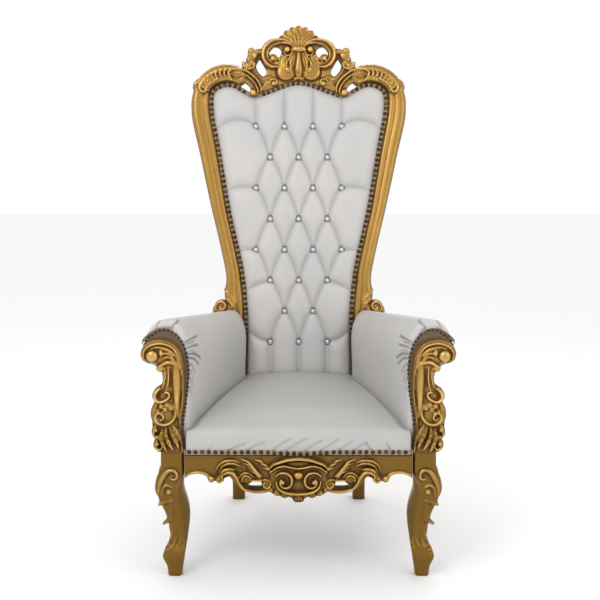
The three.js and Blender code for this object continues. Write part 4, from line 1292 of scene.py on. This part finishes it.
def add_arm_facing(braid):
    board = Carving((-448, 384), (-308, 740), 2.6, 345.6)
    front = spline(FACING_EDGE[:12], 70)
    board.ground([*front, *FACING_EDGE[12:]], 349.2)
    board.stroke(front - (6, 0), [3, 3], 350.4, pillow, root=348.4, curved=False)
    points, faces, _ = board.surface(deep_cell=2.0)
    add_mesh("arm_facing_band_left", front_place(points), faces, [braid], ["arm_facing_left"])


def facing_nail_line():
    """The row of nails just inside the facing's edge, from above the seat to the roll's outer side."""
    line = spline(FACING_EDGE[:12], 160)
    inset = line + 2.6 * left_of(line)
    return inset[inset[:, 1] > 452]


# ---- legs ----
LEG_OUTLINE = [(0, 384, 344), (28, 387, 340), (45, 393, 337), (62, 398, 335), (80, 393, 332),
               (100, 381, 329), (120, 375, 326), (150, 379, 322), (185, 386, 320), (215, 397, 323),
               (242, 406, 329), (270, 412, 335), (300, 408, 334), (325, 400, 331), (383, 398, 331)]
LEG_ARRIS = [(0, 330), (60, 330), (90, 333), (120, 334), (160, 336), (200, 341), (240, 347), (270, 350),
             (300, 346), (330, 330), (383, 320)]  # height and x of the edge between front and inner side
LEG_TIPS = [((-389, -363, 236), (-402, -375, 227), 8.5), ((-379, -352, 172), (-393, -363, 165), 7.5)]
LEG_TOP = 383
FOOT = (-362, -335)  # the leg's own axis, and the corner it turns about
DEPTH_RATIO = 0.9
LEG_CELL = 2.0
LEG_ROUNDING = 12


def carve_leg_face():
    """The relief on the leg's front, and again on its outer side, over (across, height)."""
    board = Carving((-430, -4), (-305, 390), 1.5, root=-2)
    board.stroke([(-404, 254), (-401, 282), (-392, 307), (-377, 325), (-361, 327), (-351, 316),
                  (-354, 304), (-366, 303)], [4, 8, 9, 9, 8, 7, 6, 4], [4, 8, 9, 10, 10, 9, 8, 6])
    board.cut([(-398, 260), (-392, 288), (-378, 309), (-366, 313)], 2, 4)
    board.stroke([(-350, 276), (-343, 294), (-338, 312), (-336, 330)], [3, 7, 6, 2], [3, 6, 5, 2],
                 veined(9))
    board.stroke([(-396, 252), (-392, 276), (-380, 286), (-366, 280)], [3, 6, 6, 3], [4, 6, 6, 4])
    board.knob(-374, 266, 9, 8)
    board.stroke([(-366, 238), (-380, 234), (-392, 230), (-402, 229)], [4, 7, 7, 4], [4, 5, 6, 5],
                 veined(9))
    board.stroke([(-368, 174), (-378, 170), (-388, 167), (-394, 166)], [4, 7, 6, 4], [3, 5, 6, 5],
                 veined(9))
    board.stroke([(-370, 240), (-371, 205), (-371, 170), (-366, 146)], [4, 7, 7, 4], [3.4, 4, 4, 3],
                 veined(9))
    board.stroke([(-362, 158), (-366, 134), (-377, 114), (-390, 100), (-391, 88), (-381, 84)],
                 [3, 6.5, 8, 7, 5, 3], [2.5, 4.5, 6, 6, 5, 3])
    board.stroke([(-358, 156), (-358, 128), (-363, 108), (-368, 92)], [3, 6.5, 7.5, 3], [2.5, 4.5, 5, 3])
    board.stroke([(-352, 152), (-347, 128), (-347, 108), (-353, 94)], [3, 6.5, 7, 3], [2.5, 4.5, 5, 3])
    board.stroke([(-346, 138), (-338, 118), (-334, 102)], [3, 5, 3], [2, 4, 3])
    board.cut([(-382, 66), (-366, 68), (-348, 74)], 2, 1.6)
    return board


def thorn(start, end, radius, *place):
    """Distance from a blunt tapered tip at each place."""
    axis = np.subtract(end, start)
    offsets = [p - s for p, s in zip(place, start)]
    share = np.clip(sum(p * a for p, a in zip(offsets, axis)) / (axis @ axis), 0, 1)
    away = np.sqrt(sum((p - share * a) ** 2 for p, a in zip(offsets, axis)))
    return away - radius * (1 - 0.45 * share)


def leg_body(x, y, z, relief):
    """Distance from the leg's surface: a rounded square section with the relief on its outer faces."""
    level, outer, inner = spline(LEG_OUTLINE, 300).T
    outer, inner = -np.interp(z, level, outer), -np.interp(z, level, inner)
    front, rear = (FOOT[1] + (edge - FOOT[0]) * DEPTH_RATIO for edge in (outer, inner))
    middle_x, half_x = (outer + inner) / 2, (inner - outer) / 2
    middle_y, half_y = (front + rear) / 2, (rear - front) / 2
    past_x = np.abs(x - middle_x) - (half_x - LEG_ROUNDING)
    past_y = np.abs(y - middle_y) - (half_y - LEG_ROUNDING)
    corner = np.hypot(np.maximum(past_x, 0), np.maximum(past_y, 0))
    solid = corner + np.minimum(np.maximum(past_x, past_y), 0) - LEG_ROUNDING
    on_front = sample(relief, x, z) * smoothstep(0.15, 0.85, (middle_y - y) / half_y)
    turned_x = FOOT[0] + (y - FOOT[1]) / DEPTH_RATIO
    on_side = sample(relief, turned_x, z) * smoothstep(0.15, 0.85, (middle_x - x) / half_x)
    solid = solid - 0.8 * np.clip(np.maximum(on_front, 0.6 * on_side), -3, 10)
    arris = -np.interp(z, *np.array(LEG_ARRIS, float).T)
    turn_in = ((x - arris) * 1.7 - (y - front)) / math.hypot(1.7, 1)
    return np.maximum(solid, turn_in) + fillet(solid, turn_in, 3)


def add_front_leg(material):
    """The left cabriole leg, with the relief wrapped round its two outer faces."""
    relief = carve_leg_face()
    low = np.array([-426, -418, -2 * LEG_CELL])
    x = np.arange(low[0], -308, LEG_CELL)[:, None, None]
    y = np.arange(low[1], -286, LEG_CELL)[None, :, None]
    z = np.arange(low[2], LEG_TOP + 2.5 * LEG_CELL, LEG_CELL)[None, None, :]
    solid = leg_body(x, y, z, relief)
    for tip in LEG_TIPS:
        leaf = thorn(*tip, x, y, z)
        solid = np.minimum(solid, leaf) - fillet(solid, leaf, 5)
    points, faces = polygons(np.maximum(solid, np.maximum(-z, z - LEG_TOP)))
    points = points * LEG_CELL + low
    across, deep, level = points.T
    relief.height -= blurred(relief.height, np.ones_like(relief.height), 3)
    on_front = (deep < FOOT[1]) & (deep - FOOT[1] < across - FOOT[0])
    proud = sample(relief, np.where(on_front, across, FOOT[0] + (deep - FOOT[1]) / DEPTH_RATIO), level) / 4.2
    # painted shade: the leg's inner and rear faces take the darker gold
    proud = np.where((across > FOOT[0] + 12) & (deep > FOOT[1] + 10), -0.1, proud)
    layers = {"proud": np.clip(proud, -1, 1)}
    points = (points + (0, CENTRE_SHIFT, 0)) * MM
    add_mesh("cabriole_leg_left", points, faces, [material], ["front_leg_left"], layers)


def rounded_ring(low, high, radius, level, corners=5):
    """A rounded rectangle at one level, anticlockwise from above."""
    left, right, near, far = low[0] + radius, high[0] - radius, low[1] + radius, high[1] - radius
    ring = []
    for quarter, (x, y) in enumerate([(right, far), (left, far), (left, near), (right, near)]):
        for k in range(corners + 1):
            angle = math.radians(90 * (quarter + k / corners))
            ring.append((x + radius * math.cos(angle), y + radius * math.sin(angle), level))
    return ring


def add_back_leg(side, material):
    """A plain raked leg, sawn from one board."""
    stations = [(0, 352, 21, 235, 192), (60, 338, 22, 234, 191), (140, 312, 25, 236, 190),
                (230, 285, 28, 241, 189), (318, 265, 30, 245, 187), (372, 256, 30, 246, 186.5)]
    rings = [rounded_ring((inner, y - half), (outer, y + half), 7, level)
             for level, y, half, outer, inner in spline(stations, 60)]
    add_bar("back_leg", side, rings, material)


def add_side_rail(side, material):
    front = np.array(rounded_ring((366, 318), (398, LEG_TOP), 4, -303, corners=3))
    rear = np.array(rounded_ring((218, 318), (250, LEG_TOP), 4, 217, corners=3))
    rings = [(rear + (front - rear) * share)[:, [0, 2, 1]] for share in np.linspace(0, 1, 12)]
    add_bar("side_rail", side, rings, material)


def add_bar(name, side, rings, material):
    points, faces = side_loft(rings, side)
    # painted shade: the plain back legs and side rails take the darker gold of parts in shadow
    layers = {"proud": np.full(len(points), -0.3)}
    node = f"{name}_{SIDES[side]}"
    add_mesh(f"plain_{node}", points, faces, [material], [node], layers)


# ---- outside back ----
def rear_place(points):
    """As back_place, for a board whose face looks to the rear."""
    return back_place(np.asarray(points, float) * (1, 1, -1))


def add_outside_back(leather):
    board = Carving((-310, -32), (310, 1056), 3.4, 50.4)
    rim = np.vstack([[(-194, -30)], spline(opening(EDGE_TO_NAILS + 8)[1:-1], 260), [(194, -30)]])
    board.ground(rim, 55)
    inside = np.maximum(-board.edge, 0)
    crown = 2.6 * smoothstep(0, 60, inside) + 1.6 * smoothstep(0, 5, inside)
    board.height = np.where(board.edge < board.cell, 53 + crown, board.height)
    board.cut(spline(opening(EDGE_TO_NAILS - 4)[1:-1], 260), 2.0, 1.6, curved=False)
    points, faces, _ = board.surface(deep_cell=3.0)
    add_mesh("outside_back", rear_place(points), turned_over(faces), [leather], ["back_panel"])


# ---- stage, light and camera ----
def add_light(name, place, size, power):
    """A soft white light aimed at the middle of the throne."""
    data = bpy.data.lights.new(name, "AREA")
    data.shape = "RECTANGLE"
    data.size, data.size_y = size
    data.energy = power
    light = add_object(name, data)
    light.location = place
    light.rotation_euler = (Vector((0, 0, 0.9)) - Vector(place)).to_track_quat("-Z", "Y").to_euler()


def add_stage():
    mesh = bpy.data.meshes.new("floor")
    mesh.from_pydata([(x, y, 0) for x, y in box((-14, -14), (14, 14))], [], [(0, 1, 2, 3)])
    mesh.materials.append(Shader("pale_floor").finish(Base_Color=(0.93, 0.93, 0.93), Roughness=0.9))
    add_object("floor", mesh)
    world = bpy.data.worlds.new("studio")
    world.use_nodes = True
    background = world.node_tree.nodes["Background"]
    background.inputs["Color"].default_value = (1, 1, 1, 1)
    background.inputs["Strength"].default_value = 1
    bpy.context.scene.world = world
    add_light("key", (-1.6, -2.6, 2.9), (1.6, 1.6), 34)
    add_light("fill", (2.6, -2.2, 1.8), (1.8, 1.8), 14)
    add_light("rim", (0.4, 2.4, 2.6), (1.6, 1.0), 12)
    bpy.context.scene.view_settings.view_transform = "Standard"


def add_camera():
    data = bpy.data.cameras.new("camera")
    data.sensor_width = 36
    data.lens = 66.03
    camera = add_object("camera", data)
    camera.location = (0.0045, -3.4445, 1.2949)
    camera.rotation_euler = (math.radians(90 - 8.715), 0, 0)
    bpy.context.scene.camera = camera


# ---- the throne ----
add_camera()
add_stage()
gold = antique_gold()
leather = white_leather("white_leatherette")
gimp = gold_gimp()
bronze = dark_bronze()
add_carving("carved_crest", carve_crest(), back_place, gold, "crest_rail")
add_carving("carved_stile_left", carve_stile(), back_place, gold, "back_stile_left", wear_and_painted_light_scale=0.85)
add_mirrored("carved_stile_right", "carved_stile_left", ["back_stile_right"])
add_back_pad(leather)
add_back_trim(gimp, bronze)
add_buttons(cut_crystal(), white_leather("grey_button_rim", (0.10, 0.10, 0.10), 0.35), silver_bezel())
# painted shade: the seat's leatherette is a darker copy of the back's, for the light falling on it
add_seat(white_leather("seat_leatherette_painted_shade", (0.465, 0.455, 0.435)))
add_seat_trim(gimp, bronze)
add_carving("carved_front_rail", carve_front_rail(), front_place, gold, "front_rail")
add_carving("carved_arm_post_left", carve_arm_post(), front_place, gold, "arm_post_left")
add_mirrored("carved_arm_post_right", "carved_arm_post_left", ["arm_post_right"])
add_front_leg(gold)
add_mirrored("cabriole_leg_right", "cabriole_leg_left", ["front_leg_right"])
add_arm_facing(facing_braid())
add_mirrored("arm_facing_band_right", "arm_facing_band_left", ["arm_facing_right"])
add_nails("facing_nails_left", facing_nail_line(), front_place, 3.8, 12.4, 349.6, bronze)
add_mirrored("facing_nails_right", "facing_nails_left", [])
for side in SIDES:
    add_arm(side, leather)
    add_back_leg(side, gold)
    add_side_rail(side, gold)
add_outside_back(leather)
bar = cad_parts["back_rail"]
bar.data.materials.clear()
bar.data.materials.append(gold)
